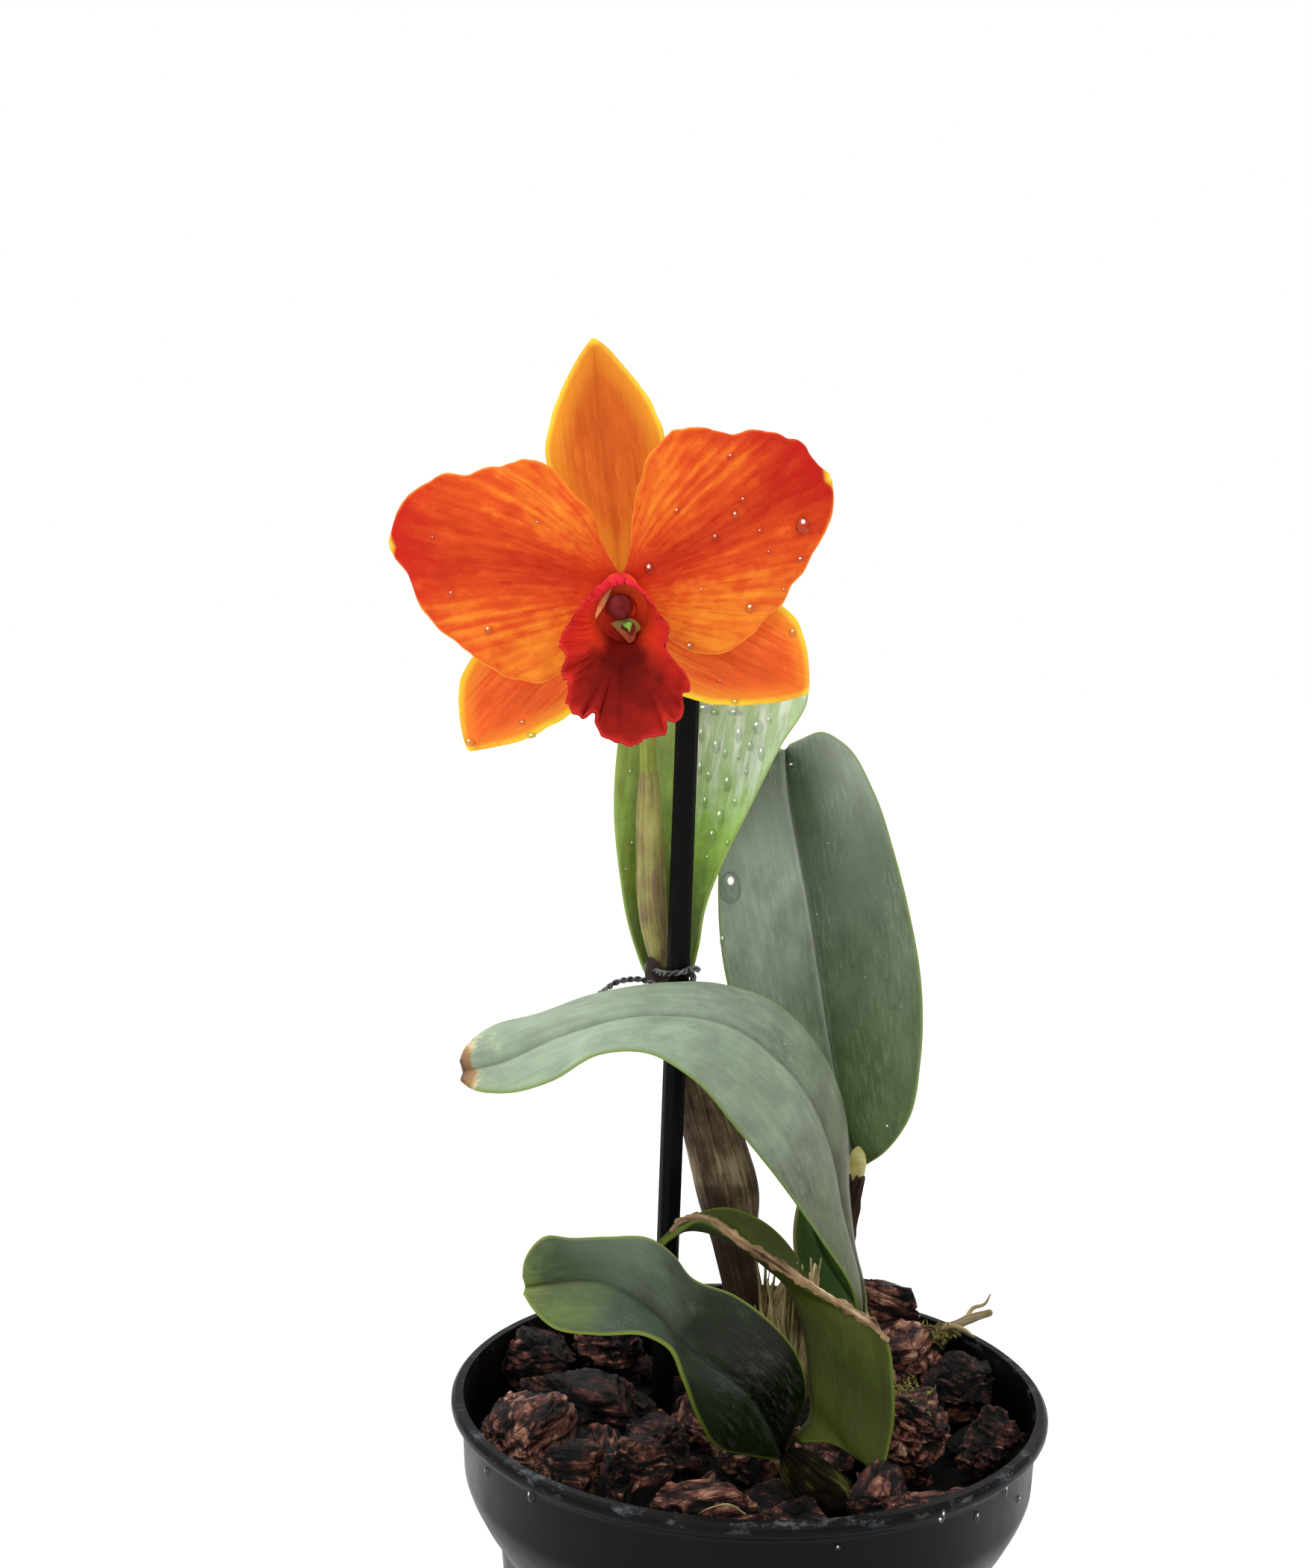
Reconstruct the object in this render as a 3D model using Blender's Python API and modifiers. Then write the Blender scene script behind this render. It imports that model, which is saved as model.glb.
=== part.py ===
# Cattleya orchid in flower, growing in a black nursery pot of bark chips.
# All sizes and places below are in millimetres; the model itself is in metres, +Z up.
# The origin is the middle of the pot's base.
import math
import random

import bmesh
import bpy
import numpy as np
from mathutils import Euler, Matrix, Vector

MM = 0.001
GAP = 0.3                  # air left between pieces that touch

# Pot: a 12 cm nursery pot with a collar under its rim
POT_FLOOR = 1.6
POT_STEPS = 40
POT_OUTER = [              # radius, height, from the rim down to the base
    (59.2, 105.0), (60.0, 104.2), (60.0, 102.6), (57.8, 101.4), (57.2, 89.4), (56.0, 86.2),
    (53.6, 81.6), (51.0, 77.6), (49.7, 74.0), (42.6, 2.2), (41.2, 0.0)]
POT_INNER = [              # radius, height, from the middle of the floor up to the rim
    (0.0, POT_FLOOR), (40.6, POT_FLOOR), (48.5, 74.2), (49.8, 78.2), (52.4, 82.2), (54.8, 86.8),
    (56.0, 90.0), (56.5, 101.2), (57.6, 105.0)]
DRAIN_RING = 30.0
DRAIN_RADIUS = 4.0
DRAIN_COUNT = 6
RIM_ROOM = 130.0            # the space over the pot that chips may rise into reaches up to here
RIM_FLARE = 102.0           # and is straight from here up

# Bark: a bed filled to just under the rim and heaped up at the back right
BARK_LEVEL = 89.0
BARK_RADIUS = 55.0
BARK_STEPS = 24
HEAP_CENTRE = (32.0, 34.0)
HEAP_HEIGHT = 11.0
HEAP_SPREAD = 24.0
HOLLOW_CENTRE = (4.0, -18.0)
HOLLOW_DEPTH = 4.5
HOLLOW_SPREAD = 15.0
CHIP_SEED = 7
CHIP_SPACING = 16.0
CHIP_REACH = 48.0          # how far out the middles of the outermost chips lie
CHIP_SIZE = (22.0, 15.5, 12.0)
CHIP_ROUNDING = 0.62
CHIP_UNEVEN = (0.88, 1.06)  # least and most that a corner is moved in or out
BIG_CHIPS = [              # x, y, height of middle, length, width, thickness, turn, tilt, roll
    (-46.0, 30.0, 98.0, 24, 16, 14, 30, 10, 15),
    (-46.0, -8.0, 97.0, 20, 18, 15, 70, -8, 10),
    (-33.0, 10.0, 96.5, 27, 16, 13, -15, 4, 20),
    (-36.0, -26.0, 94.5, 15, 12, 18, 20, 10, -12),
    (-24.0, -24.0, 95.0, 14, 12, 22, 60, 14, 10),
    (-19.0, -8.0, 95.0, 20, 12, 13, 100, 20, 10),
    (-9.0, -34.0, 94.5, 24, 14, 12, 8, 2, 12),
    (32.0, -2.0, 98.0, 25, 16, 17, 80, 12, 20),
    (32.0, 44.0, 104.5, 17, 13, 17, 10, 18, 6),
    (45.0, 18.0, 99.0, 20, 14, 14, 95, 15, 12),
    (49.0, -8.0, 97.0, 22, 11, 14, 75, 24, 20),
    (32.0, -37.0, 94.5, 24, 15, 12, 25, 4, -12),
    (-10.0, 40.0, 98.0, 20, 14, 13, 40, 8, 10)]

# Stems: points up each stem with its radius there
STAKE = [(-17.6, 24.6, 60.0), (-14.6, 18.6, 270.0)]
STAKE_RADIUS = 2.4
LEAD_BULB = [(1.6, 28.4, 93.4, 3.9), (0.4, 28.6, 112.0, 4.0), (-2.0, 29.2, 124.0, 4.6),
             (-4.0, 30.2, 137.0, 6.7), (-7.2, 30.4, 148.0, 6.3), (-12.2, 30.0, 163.0, 5.2),
             (-16.0, 29.4, 176.0, 4.1), (-18.0, 29.0, 184.4, 3.5)]
RIGHT_BULB = [(27.0, 41.4, 97.4, 3.4), (25.2, 43.4, 108.0, 3.2), (24.0, 45.0, 122.0, 3.1),
              (25.6, 45.6, 136.8, 2.9)]
MIDDLE_BULB = [(9.6, 17.0, 93.8, 3.4), (9.4, 17.0, 99.0, 4.8), (8.6, 17.2, 108.0, 5.2),
               (9.4, 17.4, 117.0, 3.6), (10.6, 17.2, 122.0, 1.9)]
ARCH_BULB = [(28.0, 26.0, 94.8, 3.4), (27.4, 26.0, 99.0, 4.4), (26.4, 25.8, 104.0, 4.3),
             (25.8, 25.4, 108.4, 3.6)]
FRONT_BULB = [(18.6, -18.0, 88.4, 3.6), (15.4, -16.4, 90.6, 4.8), (11.4, -14.6, 93.0, 4.7),
              (7.6, -12.4, 95.6, 3.4)]
RHIZOME = [(27.4, 42.6, 93.4, 2.4), (28.0, 36.0, 92.4, 3.0), (27.6, 26.0, 91.0, 3.0),
           (19.0, 18.6, 90.4, 3.0), (9.8, 17.0, 90.2, 3.0), (3.0, 22.0, 90.0, 3.0),
           (1.6, 28.4, 89.8, 3.0), (0.0, 33.0, 89.6, 2.2)]
RHIZOME_BRANCH = [(10.0, 17.0, 90.0, 2.4), (16.0, 8.0, 88.0, 2.6), (19.6, -4.0, 85.6, 2.6),
                  (20.4, -16.0, 83.6, 2.6)]
ROOT_TWIG = [(35.0, 31.5, 99.0, 1.1), (40.0, 31.0, 102.6, 1.1), (44.0, 30.6, 105.8, 1.0),
             (49.0, 30.0, 108.6, 0.9), (54.4, 29.6, 110.6, 0.7)]
FLOWER_STALK = [(-22.1, 23.9, 212.0, 1.7), (-22.8, 23.6, 226.0, 1.75), (-23.1, 23.3, 236.0, 1.75),
                (-24.0, 22.0, 248.0, 1.9), (-26.2, 18.2, 258.4, 2.2), (-28.6, 12.6, 265.0, 2.4),
                (-29.0, 8.9, 265.6, 2.2)]
WIRE_RADIUS = 0.5
BULB_NECK = 4.0            # half width of the bulb where the wire passes, with its lean
WIRE_TOP = 185.0           # the tie winds down from here, starting in front of the stake
WIRE_DROP = 3.2
WIRE_TURNS = 1.15
WIRE_START = math.radians(-62)
WIRE_POINTS = 30
WIRE_END = (-11.8, 16.8, 185.2)
WIRE_TAIL = [(-24.6, 22.0, 181.4), (-28.6, 21.0, 180.8)]

# Leaves: the left edge, the midrib and the right edge, each from the base to the tip
LEAF_THICKNESS = 1.3
LEAVES = {
    "leaf_behind_flower": {
        "left": [(-19.6, 30.6, 185.4), (-23.6, 30, 188.4), (-26.5, 28.4, 194.5), (-28.5, 27.6, 205),
                 (-30, 28, 218.5), (-29.5, 29.5, 232.5), (-27, 32, 248), (-20, 36, 265.5),
                 (-11.5, 40, 276.5), (-6.5, 42, 280)],
        "mid": [(-18, 31.4, 185.4), (-17.5, 33, 194), (-17, 35, 208), (-15.5, 37, 224),
                (-13.5, 38.6, 240), (-10, 40.6, 257.5), (-6.5, 43, 280)],
        "right": [(-16.4, 30.6, 185.4), (-12.6, 29.4, 188.8), (-10.5, 28, 197.5), (-6, 27.6, 210),
                  (-1.5, 28.4, 219.5), (5, 30, 233), (10.5, 31.5, 243.5), (11, 34, 253.5), (6, 37, 264.5),
                  (-0.5, 40, 273.5), (-6.5, 42, 280)]},
    "leaf_right": {
        "left": [(24.2, 45, 137.8), (19, 42.5, 143), (8.5, 39, 151.5), (0, 38, 166.5), (-5, 39, 181),
                 (-7, 41, 195.5), (-6.5, 43, 210.5), (-2, 45, 223.5), (3.5, 47, 229.5), (7, 48, 231.5)],
        "mid": [(25.6, 46.4, 137.8), (22, 49, 150.5), (19.5, 51, 163), (16.5, 52, 179.5), (14, 52, 193),
                (11, 51, 207), (8, 50, 222), (7, 49, 231.5)],
        "right": [(27, 45, 137.8), (31, 41.5, 142), (36, 39, 150.5), (38, 38, 164), (37.5, 39, 182.5),
                  (35, 41, 195.5), (31.5, 43, 208.5), (26.5, 45, 222.5), (20, 46, 232.5), (15, 47, 235),
                  (10, 48, 233), (7, 48.5, 231.5)]},
    "leaf_arching": {
        "left": [(24.6, 24, 109.2), (22.5, 19.6, 118.5), (15.5, 15, 130.5), (5.5, 9, 145.5),
                 (-4, 2, 158.5), (-13, -5, 170), (-22.5, -9, 176), (-31.5, -12, 176), (-40, -15, 171.5),
                 (-48.5, -17, 169.5), (-55, -17, 170), (-58.5, -14, 171.5)],
        "mid": [(25.8, 24.9, 108.9), (24.4, 24.8, 118.5), (21, 24, 131.5), (16.5, 20, 150.5),
                (8, 13, 166.5), (-7, 6, 178.5), (-21.5, 2, 180.5), (-39, -5, 177.5), (-51, -10, 173),
                (-58.5, -13, 172)],
        "right": [(26.8, 24.3, 109.1), (26.2, 25.6, 115.5), (23.4, 28, 125), (22, 28, 138.5),
                  (20.5, 26, 155.5), (14, 21, 170.5), (3, 17, 181.5), (-7, 14, 185), (-20, 11, 185.5),
                  (-32.5, 7, 184), (-44, 2, 180.5), (-53, -3, 179), (-57.5, -8, 176), (-58.5, -12, 173)]},
    "leaf_front_left": {
        "left": [(5.3, -13.9, 95.8), (-0.5, -18, 98.5), (-7, -23, 102.5), (-11, -27, 110),
                 (-14, -31, 119), (-17, -33, 126), (-21, -34, 128.5), (-30, -34, 128.5),
                 (-38.5, -33, 129.5), (-42.5, -31, 132.5), (-44.5, -29, 135)],
        "mid": [(6.3, -12.5, 96.5), (2.6, -15, 105), (-1.5, -20, 112.5), (-9, -24, 119.5),
                (-16, -26, 126), (-22, -27, 132.5), (-27.5, -27, 135.5), (-36, -27, 136),
                (-44.5, -28, 135)],
        "right": [(6.8, -11, 97.3), (9.6, -8.6, 102), (11, -10, 108.5), (9, -12, 116.5), (3.5, -14, 124),
                  (-4, -17, 130.5), (-12.5, -20, 135), (-16.5, -22, 140.5), (-20.5, -23, 143.5),
                  (-29, -24, 144), (-35.5, -25, 144), (-40.5, -26, 144.5), (-44, -27, 140.5),
                  (-44.5, -28, 136.5)]},
    "leaf_front_right": {
        "left": [(9.1, -9.6, 99.4), (13, -3, 100.4), (14.5, 5, 104), (15, 11, 111), (13.5, 14, 120),
                 (9.5, 14.4, 128.5), (2.5, 13.6, 135.5), (-5.5, 12, 138.5), (-12, 9, 137.5),
                 (-17, 3, 135), (-18.5, -3, 135)],
        "mid": [(9.4, -11.2, 98.8), (12.5, -9, 102.5), (12.5, -5, 108.5), (11.5, 0, 116), (8, 5, 124),
                (1, 8, 130), (-7.5, 8, 135.5), (-14.5, 4, 136), (-18.5, -3, 135)],
        "right": [(10.4, -12.7, 99.2), (15.5, -15, 100), (21, -19, 98.6), (24.5, -22, 97.8),
                  (27, -20, 104), (27.5, -16, 113.5), (26.5, -12, 120), (22.5, -8, 123), (14, -3, 125.5),
                  (6.5, 1, 129), (-2.5, 4, 134), (-11, 4, 138.5), (-15.5, 1, 136.5), (-18.5, -4, 135)]},
    "leaf_young": {
        "left": [(25.6, 28.4, 109.4), (18, 28.6, 112), (12, 28.6, 119), (10.4, 28.4, 126.5),
                 (11, 28.6, 133.5), (12, 29, 137)],
        "mid": [(26.6, 28.2, 109.2), (22, 31, 115), (17, 31.8, 123), (14, 31, 131), (12.4, 30, 137)],
        "right": [(27.6, 27.8, 109.4), (24.6, 30.2, 117), (20.6, 31, 125.5), (16.4, 31, 132.5),
                  (12.8, 30, 137)]}}

# Flower: sepals behind, petals in front of them, given in the same way from the centre to the tip
PETAL_THICKNESS = 0.9
PETALS = {
    "dorsal_sepal": {
        "left": [(-30.6, 7.5, 268.8), (-36, 8, 276.5), (-42, 8.5, 285), (-44.5, 9, 293),
                 (-43.5, 9, 298.5), (-41.5, 9, 304.5), (-38.5, 9, 310.5), (-35.5, 9, 315)],
        "mid": [(-29.2, 7.5, 268.8), (-30.5, 8.5, 278.5), (-32.5, 10, 290.5), (-34, 10.5, 302),
                (-35.5, 9, 315)],
        "right": [(-27.8, 7.5, 268.8), (-24.5, 8, 276.5), (-21.5, 8.5, 285.5), (-20.5, 9, 292),
                  (-22.5, 9, 300), (-25, 9, 304.5), (-29.5, 9, 309), (-33, 9, 313.5), (-35.5, 9, 315)]},
    "petal_left": {
        "left": [(-32.0, 5, 263.8), (-35, 4.5, 255), (-39.5, 4, 249), (-44.5, 3.5, 247.5),
                 (-49.5, 3, 248), (-56, 3, 251), (-62.5, 3.5, 255.5), (-68.5, 4.5, 262),
                 (-71.5, 5.5, 268.5), (-73.5, 6, 271), (-75, 6, 273.5)],
        "mid": [(-32.0, 5, 265.5), (-39.5, 3.5, 268), (-51, 2.5, 270), (-63, 3.5, 271), (-75, 6, 273.5)],
        "right": [(-32.0, 5, 267.2), (-32.5, 4.5, 274.5), (-35, 4, 280.5), (-38, 3.5, 284),
                  (-44.5, 3, 289.5), (-49.5, 3, 290), (-57, 3, 288), (-66, 4, 286.5), (-70.5, 4.5, 283.5),
                  (-73.5, 5.5, 278.5), (-75, 6, 273.5)]},
    "petal_right": {
        "left": [(-26.0, 5, 267.2), (-26.6, 4.5, 272.5), (-27, 4, 280), (-25.5, 3.5, 287.5),
                 (-22.5, 3, 293), (-18.5, 3, 296.5), (-12, 3, 297), (-2, 4, 297), (3, 4.5, 296),
                 (8.5, 5.5, 292.5), (12, 6, 288.5)],
        "mid": [(-26.0, 5, 265.5), (-19, 3.5, 271.5), (-7.5, 2.5, 277.5), (2.5, 3.5, 283), (12, 6, 288.5)],
        "right": [(-26.0, 5, 263.8), (-21.5, 4.5, 258.5), (-15.5, 4, 254), (-12.5, 3.5, 253),
                  (-9.5, 3, 253.5), (-3.5, 3, 257.5), (2.5, 3.5, 263.5), (7, 4.5, 270.5),
                  (11, 5.5, 277.5), (12.5, 6, 284.5), (12, 6, 288.5)]},
    "lateral_sepal_left": {
        "left": [(-31.8, 8, 263.9), (-42.5, 9, 258.5), (-53, 9.5, 255), (-58.5, 10, 251.5),
                 (-61, 10, 246), (-61, 9.5, 240), (-60, 9, 235), (-59, 8.5, 232.5)],
        "mid": [(-31, 8, 263.1), (-38.5, 9, 254.5), (-49, 9.5, 244), (-59, 8.5, 232.5)],
        "right": [(-30.2, 8, 262.4), (-32.5, 9, 252), (-35, 9.5, 244), (-38.5, 10, 240.5),
                  (-42.5, 10, 238), (-48, 9.5, 235), (-54, 9, 233.5), (-59, 8.5, 232.5)]},
    "lateral_sepal_right": {
        "left": [(-26.2, 8, 263.9), (-14.5, 9, 264.5), (-4, 9.5, 264.5), (2.5, 10, 263.5), (6, 10, 260.5),
                 (8, 9.5, 256), (9, 9, 249), (9, 8.5, 245.5)],
        "mid": [(-27, 8, 263.1), (-17, 9, 257.5), (-3.5, 9.5, 251.5), (9, 8.5, 245.5)],
        "right": [(-27.8, 8, 262.4), (-24, 9, 253.5), (-20, 9.5, 247), (-14.5, 10, 244), (-9.5, 10, 243),
                  (-3.5, 9.5, 243), (4, 9, 244), (9, 8.5, 245.5)]}}
SEPAL_WAVE = (0.3, 2.0)    # height and number of waves along an edge
PETAL_WAVE = (1.0, 3.5)
SPATHE = [(-19.4, 26.6, 185.4, 1.9), (-21.2, 25.0, 197.0, 3.0), (-22.0, 24.0, 210.0, 3.1),
          (-22.6, 23.7, 221.0, 2.9), (-22.8, 23.6, 227.6, 2.5)]

# Column and lip: the lip is a tube round the column, and its edge spreads into side lobes
# and a hanging front lobe
COLUMN = [(-29.0, 8.3, 265.6, 2.6), (-29.0, 4.0, 265.6, 2.6), (-28.9, 0.0, 264.6, 2.5),
          (-28.7, -5.0, 262.8, 2.7), (-28.5, -9.0, 261.2, 3.1), (-28.4, -11.0, 260.2, 2.6)]
ANTHER_CAP = (-28.7, -12.2, 262.4)
ANTHER_RADIUS = 2.4
LIP_AXIS = [(-29.0, 3.6, 265.4), (-28.8, -3.0, 263.2), (-28.0, -11.0, 259.6)]
LIP_RINGS = [(3.3, 3.3), (4.4, 4.6), (6.0, 7.4)]     # half width and half height of the tube there
LIP_EDGE = [               # angle from straight down, + to the right; distance from the tube's end; depth
    (-172, 8.8, -10.0), (-150, 9.6, -11.0), (-128, 9.3, -12.0), (-105, 9.4, -12.6),
    (-88, 11.6, -12.0), (-72, 13.2, -11.2), (-58, 14.0, -11.6), (-42, 17.2, -13.6),
    (-26, 19.2, -16.6), (-12, 21.0, -18.6), (0, 22.6, -19.4), (12, 21.8, -19.0), (24, 20.6, -17.8),
    (36, 18.6, -15.4), (46, 16.6, -13.6), (58, 11.4, -12.4), (74, 8.8, -12.2), (92, 7.9, -12.6),
    (116, 6.6, -12.6), (146, 7.4, -11.6), (172, 8.8, -10.2)]
LIP_RUFFLE = (0.8, 17.0)   # height and number of ruffles round the edge
LIP_THICKNESS = 0.8
LIP_SEAM = 172.0           # the sides of the lip meet over the column at this angle


# Scene, materials and small helpers
def clear_scene():
    for item in list(bpy.data.objects):
        bpy.data.objects.remove(item, do_unlink=True)


def collection(name):
    group = bpy.data.collections.new(name)
    bpy.context.scene.collection.children.link(group)
    return group


def material(name, colour, roughness, metallic=0.0):
    made = bpy.data.materials.new(name)
    made.use_nodes = True
    shader = made.node_tree.nodes["Principled BSDF"]
    shader.inputs["Base Color"].default_value = (*colour, 1.0)
    shader.inputs["Roughness"].default_value = roughness
    shader.inputs["Metallic"].default_value = metallic
    return made


def add_object(name, mesh, group, finish=None, smooth=True):
    made = bpy.data.objects.new(name, mesh)
    group.objects.link(made)
    if finish:
        mesh.materials.append(finish)
    if smooth and mesh.polygons:
        mesh.shade_smooth()
        mesh.set_sharp_from_angle(angle=math.radians(50))
    return made


def mesh_from(bm, name):
    mesh = bpy.data.meshes.new(name)
    bm.to_mesh(mesh)
    bm.free()
    return mesh


def apply_modifiers(item):
    """Replace the object's mesh by its evaluated one and drop its modifiers."""
    graph = bpy.context.evaluated_depsgraph_get()
    mesh = bpy.data.meshes.new_from_object(item.evaluated_get(graph))
    item.modifiers.clear()
    item.data = mesh


def boolean(item, operation, operand, solver="EXACT"):
    cut = item.modifiers.new(operation.title(), "BOOLEAN")
    cut.operation = operation
    cut.solver = solver
    if isinstance(operand, bpy.types.Collection):
        cut.operand_type = "COLLECTION"
        cut.collection = operand
    else:
        cut.object = operand
    return cut


def keep_main_body(item):
    """Drop loose scraps and fill sealed hollows: only the shell with the most faces stays."""
    bm = bmesh.new()
    bm.from_mesh(item.data)
    left = set(bm.verts)
    shells = []
    while left:
        shell, edge_of = set(), [left.pop()]
        while edge_of:
            vert = edge_of.pop()
            shell.add(vert)
            for edge in vert.link_edges:
                other = edge.other_vert(vert)
                if other in left:
                    left.remove(other)
                    edge_of.append(other)
        shells.append(shell)
    shells.sort(key=len)
    for shell in shells[:-1]:
        bmesh.ops.delete(bm, geom=list(shell), context="VERTS")
    bm.to_mesh(item.data)
    bm.free()


def smooth_curve(points, shares):
    """Smooth curve through the points, read at the given shares of its length."""
    points = np.array(points, float)
    steps = np.linalg.norm(np.diff(points[:, :3], axis=0), axis=1)
    length = np.concatenate([[0.0], np.cumsum(steps)])
    length = length / length[-1]
    slope = np.gradient(points, length, axis=0)
    shares = np.asarray(shares, float)
    index = np.clip(np.searchsorted(length, shares, side="right") - 1, 0, len(length) - 2)
    span = (length[index + 1] - length[index])[:, None]
    t = (shares - length[index])[:, None] / span
    return ((2 * t**3 - 3 * t**2 + 1) * points[index] + (t**3 - 2 * t**2 + t) * span * slope[index]
            + (3 * t**2 - 2 * t**3) * points[index + 1] + (t**3 - t**2) * span * slope[index + 1])


def grid_mesh(name, place, columns, rows):
    """A triangulated grid whose corners go where place(across, along) says; across -1..1, along 0..1."""
    bm = bmesh.new()
    bmesh.ops.create_grid(bm, x_segments=columns, y_segments=rows, size=1.0)
    flat = np.array([vert.co[:] for vert in bm.verts])
    spots = place(flat[:, 0], (flat[:, 1] + 1) / 2)
    for vert, spot in zip(bm.verts, spots):
        vert.co = Vector(spot) * MM
    bmesh.ops.triangulate(bm, faces=bm.faces, quad_method="ALTERNATE")
    return mesh_from(bm, name)


def blade(name, rails, group, finish, thickness, columns, rows, arch, wave=(0.0, 0.0), tip=0.985):
    """A leaf or petal: a sheet spread between its two edges and its midrib, then given its thickness."""
    def place(across, along):
        share = along * tip
        left, mid, right = (smooth_curve(rails[key], share) for key in ("left", "mid", "right"))
        step = 0.01
        ahead = smooth_curve(rails["mid"], np.clip(share + step, 0, 1))
        behind = smooth_curve(rails["mid"], np.clip(share - step, 0, 1))
        face = np.cross(right - left, ahead - behind)
        face /= np.linalg.norm(face, axis=1)[:, None]
        side = np.where((across < 0)[:, None], left, right) - mid
        out = np.abs(across)[:, None]
        height, count = wave
        swing = np.sin(2 * math.pi * count * along + across) * np.sin(math.pi * along)
        ripple = height * out[:, 0]**2 * swing
        width = np.linalg.norm(side, axis=1)
        lift = arch * width * 4 * out[:, 0] * (1 - out[:, 0]) + ripple
        return mid + side * out + face * lift[:, None]

    item = add_object(name, grid_mesh(name, place, columns, rows), group, finish)
    shell = item.modifiers.new("Thickness", "SOLIDIFY")
    shell.thickness = thickness * MM
    shell.offset = 0.0
    return item


def tube(name, spine, group, finish, sides=10, rings=8, grow=0.0, squash=1.0):
    """A round stem along a spine of (x, y, z, radius) points; grow makes it the hole for such a stem."""
    shares = np.linspace(0, 1, rings + 1)
    path = smooth_curve(spine, shares)
    centres, radii = path[:, :3], path[:, 3] + grow
    heading = np.gradient(centres, axis=0)
    heading /= np.linalg.norm(heading, axis=1)[:, None]
    if grow:
        centres[0] -= heading[0] * grow * 2
        centres[-1] += heading[-1] * grow * 2
    aside = np.cross(heading, np.array([0.0, 1.0, 0.05]))
    aside /= np.linalg.norm(aside, axis=1)[:, None]
    deep = np.cross(aside, heading)
    bm = bmesh.new()
    bmesh.ops.create_cone(bm, cap_ends=True, segments=sides, radius1=1.0, radius2=1.0, depth=1.0)
    long_edges = [edge for edge in bm.edges if abs(edge.verts[0].co.z - edge.verts[1].co.z) > 0.5]
    bmesh.ops.subdivide_edges(bm, edges=long_edges, cuts=rings - 1, use_grid_fill=True)
    for vert in bm.verts:
        ring = round((vert.co.z + 0.5) * rings)
        spot = centres[ring] + radii[ring] * (aside[ring] * vert.co.x + deep[ring] * vert.co.y * squash)
        vert.co = Vector(spot) * MM
    bmesh.ops.triangulate(bm, faces=bm.faces)
    bmesh.ops.recalc_face_normals(bm, faces=bm.faces)
    return add_object(name, mesh_from(bm, name), group, finish)


def turned(name, profile, group, finish, steps):
    """A solid of revolution from a profile that runs down its outer side."""
    mesh = bpy.data.meshes.new(name)
    corners = [(radius * MM, 0.0, height * MM) for radius, height in profile]
    mesh.from_pydata(corners, [(i, i + 1) for i in range(len(corners) - 1)], [])
    item = add_object(name, mesh, group, finish, smooth=False)
    screw = item.modifiers.new("Turn", "SCREW")
    screw.steps = steps
    screw.render_steps = steps
    screw.use_merge_vertices = True
    screw.merge_threshold = 0.00005
    screw.use_smooth_shade = True
    return item


def cylinder(name, radius, bottom, top, spot, group, sides=24):
    bm = bmesh.new()
    turn = Matrix.Translation(Vector((spot[0], spot[1], (bottom + top) / 2)) * MM)
    bmesh.ops.create_cone(bm, cap_ends=True, segments=sides, radius1=radius * MM, radius2=radius * MM,
                          depth=(top - bottom) * MM, matrix=turn)
    return add_object(name, mesh_from(bm, name), group, smooth=False)


def guide(item):
    item.hide_render = True
    item.display_type = "WIRE"


# Pot and bark
def make_pot(group, cutters, finish):
    pot = turned("pot", POT_INNER + POT_OUTER + [(0.0, 0.0)], group, finish, POT_STEPS)
    for number in range(DRAIN_COUNT):
        angle = 2 * math.pi * (number + 0.5) / DRAIN_COUNT
        spot = (DRAIN_RING * math.cos(angle), DRAIN_RING * math.sin(angle))
        hole = cylinder(f"drain_{number}", DRAIN_RADIUS, -2.0, POT_FLOOR + 2.0, spot, cutters, sides=10)
        guide(hole)
        boolean(pot, "DIFFERENCE", hole, "MANIFOLD")
    return pot


def bark_height(x, y):
    """Height of the bed under its chips: heaped at the back right and hollow under the front leaves."""
    to_heap = math.hypot(x - HEAP_CENTRE[0], y - HEAP_CENTRE[1]) / HEAP_SPREAD
    to_hollow = math.hypot(x - HOLLOW_CENTRE[0], y - HOLLOW_CENTRE[1]) / HOLLOW_SPREAD
    return BARK_LEVEL + HEAP_HEIGHT * math.exp(-to_heap**2) - HOLLOW_DEPTH * math.exp(-to_hollow**2)


def chip_mesh(name, size, rng):
    """A blunt, uneven block of bark: a box pushed towards a ball, with its corners knocked about."""
    bm = bmesh.new()
    bmesh.ops.create_cube(bm, size=2.0)
    bmesh.ops.subdivide_edges(bm, edges=bm.edges, cuts=1, use_grid_fill=True)
    for vert in bm.verts:
        ball = vert.co.normalized() * 1.12
        vert.co = vert.co.lerp(ball, CHIP_ROUNDING) * rng.uniform(*CHIP_UNEVEN)
        vert.co = Vector([co * side / 2 for co, side in zip(vert.co, size)]) * MM
    bmesh.ops.triangulate(bm, faces=bm.faces)
    return mesh_from(bm, name)


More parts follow.
